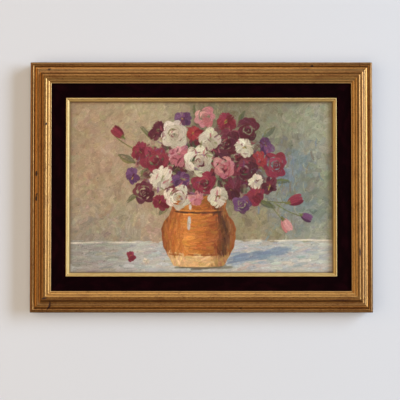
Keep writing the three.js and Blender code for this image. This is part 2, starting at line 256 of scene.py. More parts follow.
class GeometryGroup(NodeSheet):
    """A Geometry Nodes group with named inputs, which ends in one realised and painted mesh."""

    KINDS = {"int": "NodeSocketInt", "float": "NodeSocketFloat", "material": "NodeSocketMaterial"}

    def __init__(self, name: str, inputs: dict[str, str]) -> None:
        """Makes the group and its sockets.

        Args:
            name: Name of the group.
            inputs: Kind of each named input: int, float or material.
        """
        super().__init__(bpy.data.node_groups.new(name, "GeometryNodeTree"))
        interface = self.tree.interface
        interface.new_socket("Geometry", in_out="INPUT", socket_type="NodeSocketGeometry")
        for label, kind in inputs.items():
            interface.new_socket(label, in_out="INPUT", socket_type=self.KINDS[kind])
        interface.new_socket("Geometry", in_out="OUTPUT", socket_type="NodeSocketGeometry")
        self.given = self.tree.nodes.new("NodeGroupInput").outputs

    def close(self, geometry: Socket) -> None:
        """Realises the geometry, paints it with the Material input and hands it out."""
        real = self.add("GeometryNodeRealizeInstances", inputs={"Geometry": geometry})
        values = {"Geometry": real.outputs[0], "Material": self.given["Material"]}
        painted = self.add("GeometryNodeSetMaterial", inputs=values)
        self.add("NodeGroupOutput", inputs={"Geometry": painted.outputs[0]})

    def run(self, name: str, source: bpy.types.Mesh, values: dict[str, object]) -> bpy.types.Mesh:
        """Runs the group on a mesh.

        Args:
            name: Name of the resulting mesh.
            source: Mesh that the group starts from.
            values: Value of each named input.

        Returns:
            The result as a plain mesh.
        """
        carrier = linked(f"{name}_source", source)
        modifier = carrier.modifiers.new("Build", "NODES")
        modifier.node_group = self.tree
        for item in self.tree.interface.items_tree:
            if item.in_out == "INPUT" and item.name in values:
                modifier[item.identifier] = values[item.name]
        evaluated = carrier.evaluated_get(bpy.context.evaluated_depsgraph_get())
        mesh = bpy.data.meshes.new_from_object(evaluated)
        mesh.name = name
        bpy.data.objects.remove(carrier)
        return mesh


class MaterialSheet(NodeSheet):
    """A material under construction around one principled shader."""

    def __init__(self, name: str) -> None:
        """Makes an empty material."""
        self.material = bpy.data.materials.new(name)
        self.material.use_nodes = True
        super().__init__(self.material.node_tree)
        self.shader = self.tree.nodes["Principled BSDF"]

    def attribute(self, name: str) -> bpy.types.bpy_prop_collection:
        """Gives the outputs of an attribute of the mesh."""
        return self.add("ShaderNodeAttribute", {"attribute_name": name}).outputs

    def place(self) -> Socket:
        """Gives the place on the object, in metres."""
        return self.add("ShaderNodeTexCoord").outputs["Object"]

    def span(self, value: Socket, low: float, high: float, start: float = 0.0, end: float = 1.0) -> Socket:
        """Spreads a value smoothly from one span to another."""
        values = {"Value": value, "From Min": low, "From Max": high, "To Min": start, "To Max": end}
        return self.add("ShaderNodeMapRange", {"interpolation_type": "SMOOTHSTEP"}, values).outputs[0]

    def mix(self, share: Socket, first: Display | Socket, second: Display | Socket) -> Socket:
        """Mixes two colours, each given as a display colour or a socket."""
        ends = [end if isinstance(end, Socket) else linear(end) for end in (first, second)]
        settings = {"data_type": "RGBA"}
        return self.add("ShaderNodeMix", settings, {0: share, 6: ends[0], 7: ends[1]}).outputs[2]

    def bump(self, height: Socket, depth: float, under: Socket | None = None) -> Socket:
        """Gives normals that follow a height."""
        values = {"Strength": 1.0, "Distance": depth, "Height": height}
        if under is not None:
            values["Normal"] = under
        return self.add("ShaderNodeBump", inputs=values).outputs[0]

    def dress(self, inputs: dict[str, object]) -> bpy.types.Material:
        """Joins values and sockets to the shader and gives the material."""
        for name, value in inputs.items():
            if isinstance(value, Socket):
                self.tree.links.new(value, self.shader.inputs[name])
            else:
                self.shader.inputs[name].default_value = value
        return self.material


@dataclass(frozen=True)
class GiltFinish:
    """Worn gilding over reddish brown clay on wood, left bare at the back."""

    deep: Display = (142, 92, 44)
    gold: Display = (198, 148, 84)
    pale: Display = (234, 198, 138)
    grime_and_shade: Display = (58, 27, 8)
    clay: Display = (124, 64, 34)
    mark: Display = (52, 22, 10)
    worn: Display = (96, 46, 22)
    fresh: Display = (230, 178, 100)
    dull: Display = (104, 74, 48)
    wood: Display = (176, 132, 84)
    wood_dark: Display = (128, 88, 50)
    bead_end: float = 0.0042
    fresh_start: float = 0.0245

    def make(self) -> bpy.types.Material:
        """Builds the material from the rails' own attributes, brighter near the picture."""
        sheet = MaterialSheet("worn_gilt")
        along = sheet.attribute("place")["Vector"]
        inwards = sheet.parts(along)[1]
        near = sheet.span(inwards, self.fresh_start, self.fresh_start + 0.001)
        far = sheet.span(inwards, self.bead_end, self.bead_end + 0.0008, 1.0, 0.0)
        hollow = sheet.attribute("hollow")["Fac"]
        rubbed = sheet.attribute("rubbed")["Fac"]
        bare = sheet.attribute("bare")["Fac"]
        mark = sheet.attribute("mark")["Fac"]
        patches = sheet.noise(sheet.stretched(along, (1.0, 2.5, 2.5)), 26.0, 4.0, 0.6)
        streaks = sheet.noise(sheet.stretched(along, (1.0, 2.8, 2.8)), 250.0, 4.0, 0.64, 3.0)
        speckle = sheet.noise(along, 1400.0, 3.0, 0.6, 7.0)
        pits = sheet.noise(sheet.stretched(along, (0.55, 1.0, 1.0)), 760.0, 2.0, 0.5, 11.0)
        grain = sheet.noise(sheet.stretched(along, (1.0, 14.0, 14.0)), 60.0, 4.0, 0.6, 5.0)

        colour = sheet.mix(sheet.span(streaks, 0.3, 0.7, 0.15, 1.0), self.deep, self.gold)
        colour = sheet.mix(sheet.times(near, sheet.span(streaks, 0.3, 0.6, 0.4, 0.75)), colour, self.fresh)
        colour = sheet.mix(sheet.times(far, 0.5), colour, self.dull)
        # Painted shade on the top length's members near the picture, where light from above falls short.
        colour = sheet.mix(sheet.times(near, sheet.attribute("smoke")["Fac"]), colour, self.grime_and_shade)
        colour = sheet.mix(sheet.span(patches, 0.5, 0.72, 0.0, 0.5), colour, self.clay)
        lifted = sheet.times(rubbed, sheet.span(speckle, 0.3, 0.6, 0.35, 1.0))
        colour = sheet.mix(sheet.times(lifted, 0.8), colour, self.pale)
        worn_through = sheet.times(sheet.span(pits, 0.59, 0.66), sheet.span(patches, 0.4, 0.6, 0.3, 0.95))
        colour = sheet.mix(worn_through, colour, self.worn)
        # Painted shade with dirt darkens the hollows and seams, and painted shade darkens the faces turned
        # from the light.
        sunk = sheet.times(hollow, sheet.span(streaks, 0.25, 0.7, 1.0, 0.8))
        sunk = sheet.times(sunk, sheet.span(near, 0.0, 1.0, 1.0, 0.5))
        colour = sheet.mix(sunk, colour, self.grime_and_shade)
        stained = sheet.span(sheet.math("ADD", mark, sheet.span(speckle, 0.3, 0.7, -0.2, 0.2)), 0.4, 0.6)
        colour = sheet.mix(stained, colour, self.mark)
        wood = sheet.mix(sheet.span(grain, 0.35, 0.65), self.wood, self.wood_dark)
        colour = sheet.mix(bare, colour, wood)

        covered = sheet.math("SUBTRACT", 1.0, sheet.math("MAXIMUM", bare, stained))
        metal = sheet.times(covered, sheet.span(hollow, 0.0, 1.0, 0.88, 0.15))
        metal = sheet.times(metal, sheet.span(near, 0.0, 1.0, 1.0, 0.7))
        gloss = sheet.span(streaks, 0.3, 0.7, 0.3, 0.4)
        rough = sheet.math("MAXIMUM", gloss, sheet.times(sheet.math("MAXIMUM", bare, stained), 0.75))
        relief = sheet.math("ADD", sheet.times(speckle, 0.3), sheet.times(streaks, 0.7))
        normal = sheet.bump(relief, 0.00016)
        return sheet.dress(
            {
                "Base Color": colour,
                "Metallic": metal,
                "Roughness": rough,
                "Coat Weight": 0.12,
                "Coat Roughness": 0.35,
                "Normal": normal,
            }
        )


@dataclass(frozen=True)
class BrightGiltFinish:
    """Pale bright gilding of the sight fillet, with a little wear."""

    gold: Display = (212, 178, 112)
    pale: Display = (228, 202, 142)
    grime_and_shade: Display = (92, 58, 18)
    wood: Display = (180, 140, 92)

    def make(self) -> bpy.types.Material:
        """Builds the material from the fillet's own attributes."""
        sheet = MaterialSheet("bright_gilt")
        along = sheet.attribute("place")["Vector"]
        hollow = sheet.attribute("hollow")["Fac"]
        bare = sheet.attribute("bare")["Fac"]
        streaks = sheet.noise(sheet.stretched(along, (1.0, 6.0, 6.0)), 120.0, 4.0, 0.6, 2.0)
        speckle = sheet.noise(along, 1600.0, 2.0, 0.6, 4.0)
        colour = sheet.mix(sheet.span(streaks, 0.32, 0.62), self.gold, self.pale)
        colour = sheet.mix(sheet.span(speckle, 0.62, 0.78, 0.0, 0.5), colour, self.grime_and_shade)
        # Painted shade with dirt in the quirk, and painted shade along the inner edge by the picture.
        colour = sheet.mix(sheet.times(hollow, 0.55), colour, self.grime_and_shade)
        colour = sheet.mix(bare, colour, self.wood)
        metal = sheet.times(sheet.math("SUBTRACT", 1.0, bare), 0.5)
        rough = sheet.span(streaks, 0.3, 0.7, 0.44, 0.56)
        normal = sheet.bump(streaks, 0.0002)
        return sheet.dress({"Base Color": colour, "Metallic": metal, "Roughness": rough, "Normal": normal})


@dataclass(frozen=True)
class VelvetFinish:
    """Very dark wine red velvet with a short nap."""

    deep: Display = (12, 0, 3)
    lifted: Display = (30, 3, 10)
    wood: Display = (170, 130, 86)

    def make(self) -> bpy.types.Material:
        """Builds the material from the liner's own attributes."""
        sheet = MaterialSheet("wine_velvet")
        along = sheet.attribute("place")["Vector"]
        bare = sheet.attribute("bare")["Fac"]
        brushed = sheet.noise(sheet.stretched(along, (1.0, 2.2, 2.2)), 45.0, 4.0, 0.6, 1.0)
        nap = sheet.noise(along, 1700.0, 2.0, 0.7, 9.0)
        tone = sheet.times(sheet.span(brushed, 0.4, 0.75), sheet.span(nap, 0.3, 0.7, 0.4, 1.0))
        colour = sheet.mix(bare, sheet.mix(tone, self.deep, self.lifted), self.wood)
        normal = sheet.bump(nap, 0.00045)
        return sheet.dress(
            {
                "Base Color": colour,
                "Roughness": 0.92,
                "Specular IOR Level": 0.04,
                "Sheen Weight": 0.02,
                "Sheen Roughness": 0.4,
                "Sheen Tint": linear((150, 30, 50)),
                "Normal": normal,
            }
        )


@dataclass(frozen=True)
class PaintFinish:
    """Oil paint with the fine furrows of the brush and a soft uneven gloss."""

    def make(self) -> bpy.types.Material:
        """Builds the material from the paint's own colours."""
        sheet = MaterialSheet("oil_paint")
        place = sheet.place()
        colour = sheet.attribute("paint_colour")["Color"]
        furrows = sheet.noise(sheet.stretched(place, (1.0, 1.0, 0.6)), 1500.0, 3.0, 0.6, 1.0)
        patches = sheet.noise(place, 60.0, 3.0, 0.6, 2.0)
        darker = sheet.add("ShaderNodeMix", {"data_type": "RGBA", "blend_type": "MULTIPLY"}, {6: colour})
        darker.inputs[7].default_value = linear((222, 218, 206))
        sheet.tree.links.new(sheet.span(furrows, 0.35, 0.7), darker.inputs[0])
        normal = sheet.bump(furrows, 0.00022)
        rough = sheet.span(patches, 0.35, 0.65, 0.42, 0.62)
        return sheet.dress({"Base Color": darker.outputs[2], "Roughness": rough, "Normal": normal})


@dataclass(frozen=True)
class LinenFinish:
    """Aged raw linen with a pale ground on the side that takes the paint."""

    thread: Display = (150, 128, 94)
    shade: Display = (112, 92, 64)
    ground: Display = (214, 204, 182)
    threads_per_metre: float = 1500.0

    def make(self) -> bpy.types.Material:
        """Builds the material with its weave crossing along X and Z."""
        sheet = MaterialSheet("primed_linen")
        place = sheet.place()
        waves = []
        for direction in ("X", "Z"):
            settings = {"wave_type": "BANDS", "bands_direction": direction}
            values = {"Vector": place, "Scale": self.threads_per_metre / 20.0 * math.pi, "Distortion": 1.4}
            waves.append(sheet.add("ShaderNodeTexWave", settings, values).outputs["Fac"])
        weave = sheet.times(waves[0], waves[1])
        stains = sheet.noise(place, 24.0, 4.0, 0.6)
        primed = sheet.attribute("primed")["Fac"]
        colour = sheet.mix(sheet.span(stains, 0.35, 0.7), self.thread, self.shade)
        colour = sheet.mix(sheet.times(weave, 0.45), colour, self.thread)
        colour = sheet.mix(primed, colour, self.ground)
        normal = sheet.bump(weave, 0.0002)
        return sheet.dress({"Base Color": colour, "Roughness": 0.9, "Normal": normal})


class Grain(Enum):
    """The axis that a piece's wood grain runs along, as a scale for each axis."""

    ALONG_X = (1.0, 12.0, 12.0)
    ALONG_Z = (12.0, 12.0, 1.0)


@dataclass(frozen=True)
class WoodFinish:
    """Bare wood, planed or sawn, darkened by age."""

    name: str
    light: Display
    dark: Display
    grain: Grain

    def make(self) -> bpy.types.Material:
        """Builds the material with its grain along the chosen axis."""
        sheet = MaterialSheet(self.name)
        place = sheet.place()
        run = sheet.stretched(place, self.grain.value)
        broad = sheet.noise(run, 16.0, 3.0, 0.5, 1.0)
        rings = sheet.math("SINE", sheet.times(broad, 46.0))
        fibres = sheet.noise(run, 120.0, 4.0, 0.6, 2.0)
        stains = sheet.noise(place, 14.0, 3.0, 0.5, 3.0)
        colour = sheet.mix(sheet.span(rings, -0.2, 1.0, 0.0, 0.75), self.light, self.dark)
        colour = sheet.mix(sheet.span(fibres, 0.4, 0.75, 0.0, 0.5), colour, self.dark)
        colour = sheet.mix(sheet.span(stains, 0.5, 0.75, 0.0, 0.35), colour, self.dark)
        rough = sheet.span(fibres, 0.3, 0.7, 0.62, 0.8)
        return sheet.dress({"Base Color": colour, "Roughness": rough, "Normal": sheet.bump(fibres, 0.0002)})


@dataclass(frozen=True)
class MetalFinish:
    """Dull plated steel with fine scratches and a few darker stains."""

    name: str
    light: Display
    dark: Display
    roughness: float

    def make(self) -> bpy.types.Material:
        """Builds the material with scratches across the piece."""
        sheet = MaterialSheet(self.name)
        place = sheet.place()
        scratches = sheet.noise(sheet.stretched(place, (1.0, 1.0, 16.0)), 300.0, 4.0, 0.6, 1.0)
        stains = sheet.noise(place, 130.0, 4.0, 0.6, 2.0)
        colour = sheet.mix(sheet.span(stains, 0.42, 0.7), self.light, self.dark)
        rough = sheet.span(scratches, 0.3, 0.7, self.roughness, self.roughness + 0.2)
        normal = sheet.bump(scratches, 0.00008)
        return sheet.dress({"Base Color": colour, "Metallic": 0.9, "Roughness": rough, "Normal": normal})


class Pigment(Enum):
    """Mixed oil colours of the painting, as display colours from 0 to 255."""

    WARM_BEIGE = (174, 153, 125)
    PINK_GREY = (184, 152, 132)
    SAND = (180, 167, 137)
    OLIVE_GREY = (128, 120, 97)
    SAGE = (142, 149, 131)
    BLUE_GREY = (112, 134, 152)
    PALE_SAGE = (163, 166, 146)
    DUSK_GREY = (148, 142, 134)
    EARTH_BEIGE = (153, 144, 115)
    CLOTH_WHITE = (192, 195, 193)
    CLOTH_BRIGHT = (224, 219, 205)
    CLOTH_BLUE = (176, 186, 194)
    CLOTH_PINK = (198, 190, 186)
    CLOTH_SHADE = (124, 144, 172)
    GLAZE = (188, 108, 38)
    GLAZE_LIGHT = (217, 136, 56)
    GLAZE_DEEP = (150, 80, 28)
    GLAZE_SHADE = (84, 47, 26)
    GLAZE_WARM_EDGE = (158, 96, 44)
    CLAY = (224, 180, 126)
    CLAY_SHADE = (160, 112, 66)
    HIGHLIGHT = (202, 200, 198)
    CRIMSON = (116, 20, 46)
    CRIMSON_LIGHT = (152, 48, 72)
    WINE = (76, 16, 36)
    WINE_LIGHT = (112, 38, 60)
    VIOLET = (82, 38, 82)
    VIOLET_LIGHT = (118, 74, 120)
    PINK = (182, 98, 112)
    PINK_LIGHT = (214, 158, 158)
    RED = (138, 26, 42)
    RED_LIGHT = (172, 60, 64)
    CREAM = (238, 229, 212)
    CREAM_SHADE = (188, 177, 160)
    DEEP_GREEN = (66, 74, 48)
    LEAF_GREEN = (104, 112, 60)
    POLLEN = (182, 150, 58)

    @property
    def colour(self) -> np.ndarray:
        """The colour as three floats from 0 to 1."""
        return np.array(self.value, float) / 255.0


@dataclass(frozen=True)
class Brush:
    """How a brush is loaded and how it marks.

    Attributes:
        load: Thickness of the paint that it leaves, in millimetres.
        opacity: Share of the colour beneath that it hides.
        dry: From 0, a wet brush, to 1, one that skips at the end of its pull.
        spread: How far its colour strays from the one meant, as a standard deviation.
        sway: How far its pulls bow aside by chance, as a standard deviation in millimetres.
        blunt: Power of the outline's ends, 2 for an ellipse and more for a squarer pull.
    """

    load: float
    opacity: float
    dry: float
    spread: float = 0.03
    sway: float = 0.0
    blunt: float = 4.0


class Brushes:
    """The brushes of the painting, each for one kind of touch."""

    WALL_TOUCH = Brush(0.14, 0.65, 0.5, sway=2.0)
    CLOTH_SHADOW = Brush(0.12, 0.55, 0.35, spread=0.035)
    CLOTH_EDGE = Brush(0.2, 0.55, 0.45)
    POT_FOOT = Brush(0.1, 0.5, 0.3)
    POT_BODY = Brush(0.16, 0.8, 0.25, spread=0.05)
    POT_LINE = Brush(0.16, 0.75, 0.35)
    HIGHLIGHT = Brush(0.35, 0.85, 0.4)
    GREENERY = Brush(0.12, 0.75, 0.35, spread=0.035)
    STEM = Brush(0.2, 0.8, 0.35, spread=0.04, blunt=2.0)
    LEAF = Brush(0.2, 0.6, 0.5, sway=3.0, blunt=1.5)
    PETAL = Brush(0.34, 0.95, 0.28, blunt=2.6)
    ROSE_PETAL = Brush(0.36, 0.95, 0.3, blunt=2.2)
    HEART = Brush(0.35, 0.7, 0.3, spread=0.04, blunt=2.0)
    BUD_PETAL = Brush(0.32, 0.95, 0.25, blunt=2.0)
    CALYX = Brush(0.25, 0.9, 0.2, spread=0.04, blunt=2.0)
    ACCENT = Brush(0.4, 0.6, 0.6, spread=0.04, sway=1.6, blunt=2.0)
    SPECK = Brush(0.2, 0.6, 0.0, blunt=2.0)


@dataclass(frozen=True)
class Pull:
    """One pull of a brush, in millimetres from the middle of the picture.

    Attributes:
        x: Middle of the pull to the right.
        z: Middle of the pull upwards.
        angle: Direction of the pull, anticlockwise from +X, in radians.
        length: Length along the pull.
        width: Width of the brush.
        bend: How far the middle of the pull bows to its left.
        strength: Share of the brush's opacity that the pull has.
    """

    x: float
    z: float
    angle: float
    length: float
    width: float
    bend: float = 0.0
    strength: float = 1.0


class PaintLayer:
    """Paint on a canvas, as a colour and a thickness at each point of an even grid."""

    HAIRS = 192
    HAIR_STEPS = 96
    HAIR_RUN = 13
    HAIRS_PER_MM = 2.4
    STEPS_PER_MM = 1.1
    STREAK = 0.16
    RIDGE_PLACE = 0.8
    RIDGE_WIDTH = 0.16
    HEAP_START = 0.7
    PAINT_KEPT = 0.45

    def __init__(self, width: float, height: float, cell: float, seed: int) -> None:
        """Lays out an unpainted grid.

        Args:
            width: Painted width in millimetres.
            height: Painted height in millimetres.
            cell: Distance between two points, in millimetres.
            seed: Seed of every random choice of the brush.
        """
        self.cell = cell
        self.x = np.linspace(-width / 2, width / 2, round(width / cell) + 1)
        self.z = np.linspace(-height / 2, height / 2, round(height / cell) + 1)
        self.colour = np.zeros((self.z.size, self.x.size, 3))
        self.thickness = np.zeros((self.z.size, self.x.size))
        self.random = np.random.default_rng(seed)
        self.hairs = self._hair_field()

    def _hair_field(self) -> np.ndarray:
        """Gives the streaks that the hairs of the brush leave, each from 0 to 1."""
        field = self.random.random((self.HAIRS, self.HAIR_STEPS))
        smooth = sum(np.roll(field, shift, axis=1) for shift in range(self.HAIR_RUN)) / self.HAIR_RUN
        smooth = 0.7 * smooth + 0.3 * np.roll(smooth, 1, axis=0)
        low, high = np.quantile(smooth, (0.02, 0.98))
        return np.clip((smooth - low) / (high - low), 0.0, 1.0)

    def _span(self, places: np.ndarray, middle: float, reach: float) -> slice:
        """Gives the run of grid lines that lie within a reach of a place."""
        first, last = np.searchsorted(places, (middle - reach, middle + reach))
        return slice(int(first), int(last))

    def pull(self, stroke: Pull, brush: Brush, colour: np.ndarray, within: np.ndarray | None = None) -> None:
        """Pulls a brush once over the paint that is there.

        Args:
            stroke: The pull to make.
            brush: The brush to make it with.
            colour: Colour on the brush, each part from 0 to 1.
            within: How far the brush may mark each point, from 0 to 1, or None where it may mark all.
        """
        reach = 0.5 * math.hypot(stroke.length, stroke.width) + abs(stroke.bend)
        rows = self._span(self.z, stroke.z, reach)
        columns = self._span(self.x, stroke.x, reach)
        if rows.start >= rows.stop or columns.start >= columns.stop:
            return
        right, up = np.meshgrid(self.x[columns] - stroke.x, self.z[rows] - stroke.z)
        cosine, sine = math.cos(stroke.angle), math.sin(stroke.angle)
        along = (right * cosine + up * sine) / (0.5 * stroke.length)
        inner = np.clip(along, -1.0, 1.0)
        half_width = 0.5 * stroke.width
        across = (up * cosine - right * sine - stroke.bend * (0.5 - inner**2)) / half_width
        outline = np.sqrt(np.clip(1.0 - np.abs(along) ** brush.blunt, 0.0, 1.0))
        cover = np.clip((outline - np.abs(across)) * half_width / self.cell + 0.3, 0.0, 1.0)
        cover[outline <= 0.0] = 0.0
        first_hair, first_step = self.random.integers(0, (self.HAIRS, self.HAIR_STEPS))
        hair_rows = (across * half_width * self.HAIRS_PER_MM).astype(int) + first_hair
        hair_steps = (along * 0.5 * stroke.length * self.STEPS_PER_MM).astype(int) + first_step
        hair = self.hairs[hair_rows % self.HAIRS, hair_steps % self.HAIR_STEPS]
        skipping = brush.dry * (0.55 + 0.45 * inner)
        cover *= np.clip((hair - skipping) * 4.0 + 1.0, 0.0, 1.0) * (brush.opacity * stroke.strength)
        if within is not None:
            cover *= within[rows, columns]
        tint = colour + (hair[..., None] - 0.5) * self.STREAK * (0.35 + colour)
        old = self.colour[rows, columns]
        self.colour[rows, columns] = old + cover[..., None] * (tint - old)
        ridge = np.exp(-(((np.abs(across) - self.RIDGE_PLACE) / self.RIDGE_WIDTH) ** 2))
        heap = np.clip(inner - self.HEAP_START, 0.0, 1.0) * 1.6
        paint = brush.load * (0.35 + 0.75 * hair + 0.4 * ridge + heap)
        under = self.thickness[rows, columns]
        self.thickness[rows, columns] = under + cover * (paint + self.PAINT_KEPT * under - under)

    def near(self, colour: np.ndarray, spread: float) -> np.ndarray:
        """Gives a colour a little off the one asked for, as paint mixed by hand is."""
        shared = self.random.normal(0.0, spread)
        apart = self.random.normal(0.0, 0.4 * spread, 3)
        return np.clip(colour + shared + apart, 0.01, 0.98)


class BlossomKind(Enum):
    """The kinds of flower in the bunch."""

    ROSETTE = "many petals that close in on the heart"
    OPEN = "a few broad petals round a small heart"
    BUD = "a closed bud on its calyx"


class Hue(Enum):
    """The petals' colours of a flower, first in the light and then in shade."""

    WHITE = (Pigment.CREAM, Pigment.CREAM_SHADE)
    CRIMSON = (Pigment.CRIMSON_LIGHT, Pigment.CRIMSON)
    WINE = (Pigment.WINE_LIGHT, Pigment.WINE)
    VIOLET = (Pigment.VIOLET_LIGHT, Pigment.VIOLET)
    PINK = (Pigment.PINK_LIGHT, Pigment.PINK)
    RED = (Pigment.RED_LIGHT, Pigment.RED)


@dataclass(frozen=True)
class Blossom:
    """A flower's colours, place and size.

    Attributes:
        hue: The petals' colours.
        x: Middle of the flower to the right, in millimetres.
        z: Middle of the flower upwards, in millimetres.
        radius: Radius in millimetres, or half the length of a bud.
        kind: How its petals lie.
        turn: Turn of the first petal, or the direction that a bud points in, in radians.
    """

    hue: Hue
    x: float
    z: float
    radius: float
    kind: BlossomKind
    turn: float

    def colour(self, share: float) -> np.ndarray:
        """Gives the petals' colour, from 0 in shade to 1 in the light."""
        light, dark = (pigment.colour for pigment in self.hue.value)
        return dark + share * (light - dark)


ROSETTE, OPEN, BUD = BlossomKind.ROSETTE, BlossomKind.OPEN, BlossomKind.BUD

BUNCH = (
    Blossom(Hue.WINE, -66.0, 88.0, 16.0, OPEN, 0.4),
    Blossom(Hue.VIOLET, -30.0, 104.0, 14.0, OPEN, 0.1),
    Blossom(Hue.PINK, 6.0, 108.0, 16.0, ROSETTE, 0.9),
    Blossom(Hue.CRIMSON, 38.0, 100.0, 17.0, OPEN, 0.7),
    Blossom(Hue.WINE, 72.0, 88.0, 18.0, ROSETTE, 0.2),
    Blossom(Hue.VIOLET, 98.0, 66.0, 15.0, OPEN, 0.5),
    Blossom(Hue.CRIMSON, -94.0, 56.0, 18.0, OPEN, 1.0),
    Blossom(Hue.VIOLET, -106.0, 18.0, 16.0, OPEN, 0.3),
    Blossom(Hue.CRIMSON, 114.0, 34.0, 19.0, ROSETTE, 0.6),
    Blossom(Hue.WINE, 104.0, 0.0, 17.0, OPEN, 0.2),
    Blossom(Hue.WINE, -88.0, -8.0, 16.0, ROSETTE, 0.7),
    Blossom(Hue.WHITE, -42.0, 80.0, 22.0, ROSETTE, 0.5),
    Blossom(Hue.RED, -12.0, 82.0, 15.0, OPEN, 0.9),
    Blossom(Hue.CRIMSON, -72.0, 42.0, 21.0, ROSETTE, 0.1),
    Blossom(Hue.WINE, 38.0, 66.0, 21.0, ROSETTE, 1.1),
    Blossom(Hue.WHITE, 66.0, 62.0, 18.0, OPEN, 0.2),
    Blossom(Hue.RED, 90.0, 40.0, 16.0, OPEN, 0.4),
    Blossom(Hue.WHITE, 12.0, 74.0, 19.0, OPEN, 0.8),
    Blossom(Hue.CRIMSON, 80.0, -14.0, 18.0, OPEN, 0.9),
    Blossom(Hue.WINE, 66.0, 26.0, 20.0, ROSETTE, 0.3),
    Blossom(Hue.PINK, -34.0, 50.0, 17.0, OPEN, 0.6),
    Blossom(Hue.WHITE, -60.0, 12.0, 21.0, OPEN, 0.2),
    Blossom(Hue.VIOLET, -30.0, 12.0, 17.0, OPEN, 1.2),
    Blossom(Hue.WHITE, -4.0, 40.0, 22.0, ROSETTE, 0.5),
    Blossom(Hue.PINK, 34.0, 32.0, 17.0, ROSETTE, 0.4),
    Blossom(Hue.CRIMSON, 4.0, 6.0, 18.0, ROSETTE, 0.8),
    Blossom(Hue.WHITE, 84.0, 10.0, 14.0, OPEN, 0.5),
    Blossom(Hue.WINE, 48.0, -4.0, 18.0, OPEN, 0.1),
    Blossom(Hue.CRIMSON, -64.0, -22.0, 15.0, OPEN, 0.6),
    Blossom(Hue.VIOLET, 62.0, -26.0, 14.0, ROSETTE, 0.5),
    Blossom(Hue.WHITE, -36.0, -16.0, 19.0, ROSETTE, 0.9),
    Blossom(Hue.WHITE, 26.0, -14.0, 17.0, OPEN, 0.7),
    Blossom(Hue.PINK, -8.0, -18.0, 13.0, OPEN, 0.3),
)

SPRIG_BUDS = (
    Blossom(Hue.CRIMSON, 144.0, -20.0, 14.0, BUD, 0.35),
    Blossom(Hue.VIOLET, 161.0, -46.0, 11.0, BUD, -0.45),
    Blossom(Hue.PINK, 130.0, -58.0, 13.0, BUD, -1.1),
    Blossom(Hue.CRIMSON, -128.0, 84.0, 13.0, BUD, 2.4),
)

FALLEN = (
    Blossom(Hue.CRIMSON, -108.0, -106.0, 9.0, OPEN, 0.4),
    Blossom(Hue.WHITE, -84.0, -113.0, 6.0, OPEN, 0.9),
)


@dataclass(frozen=True)
class Pool:
    """A broad patch of the background's colour, in millimetres from the middle of the picture."""

    x: float
    z: float
    reach: float
    pigment: Pigment


BACKGROUND = (
    Pool(-175.0, 100.0, 60.0, Pigment.WARM_BEIGE),
    Pool(-150.0, 40.0, 45.0, Pigment.PINK_GREY),
    Pool(-95.0, 112.0, 50.0, Pigment.SAND),
    Pool(-180.0, -20.0, 60.0, Pigment.WARM_BEIGE),
    Pool(-110.0, -40.0, 50.0, Pigment.SAND),
    Pool(-70.0, -62.0, 28.0, Pigment.PINK_GREY),
    Pool(-185.0, -90.0, 50.0, Pigment.DUSK_GREY),
    Pool(50.0, 118.0, 60.0, Pigment.OLIVE_GREY),
    Pool(110.0, 104.0, 40.0, Pigment.SAGE),
    Pool(142.0, 30.0, 34.0, Pigment.BLUE_GREY),
    Pool(150.0, -40.0, 34.0, Pigment.BLUE_GREY),
    Pool(185.0, 80.0, 45.0, Pigment.PALE_SAGE),
    Pool(190.0, -10.0, 40.0, Pigment.SAGE),
    Pool(110.0, -66.0, 38.0, Pigment.EARTH_BEIGE),
    Pool(175.0, -70.0, 34.0, Pigment.PALE_SAGE),
    Pool(-196.0, 60.0, 22.0, Pigment.EARTH_BEIGE),
    Pool(-130.0, 84.0, 24.0, Pigment.PINK_GREY),
    Pool(-128.0, -72.0, 34.0, Pigment.DUSK_GREY),
    Pool(-160.0, 4.0, 18.0, Pigment.EARTH_BEIGE),
    Pool(128.0, 70.0, 20.0, Pigment.OLIVE_GREY),
    Pool(164.0, 4.0, 16.0, Pigment.OLIVE_GREY),
    Pool(96.0, 120.0, 18.0, Pigment.OLIVE_GREY),
)


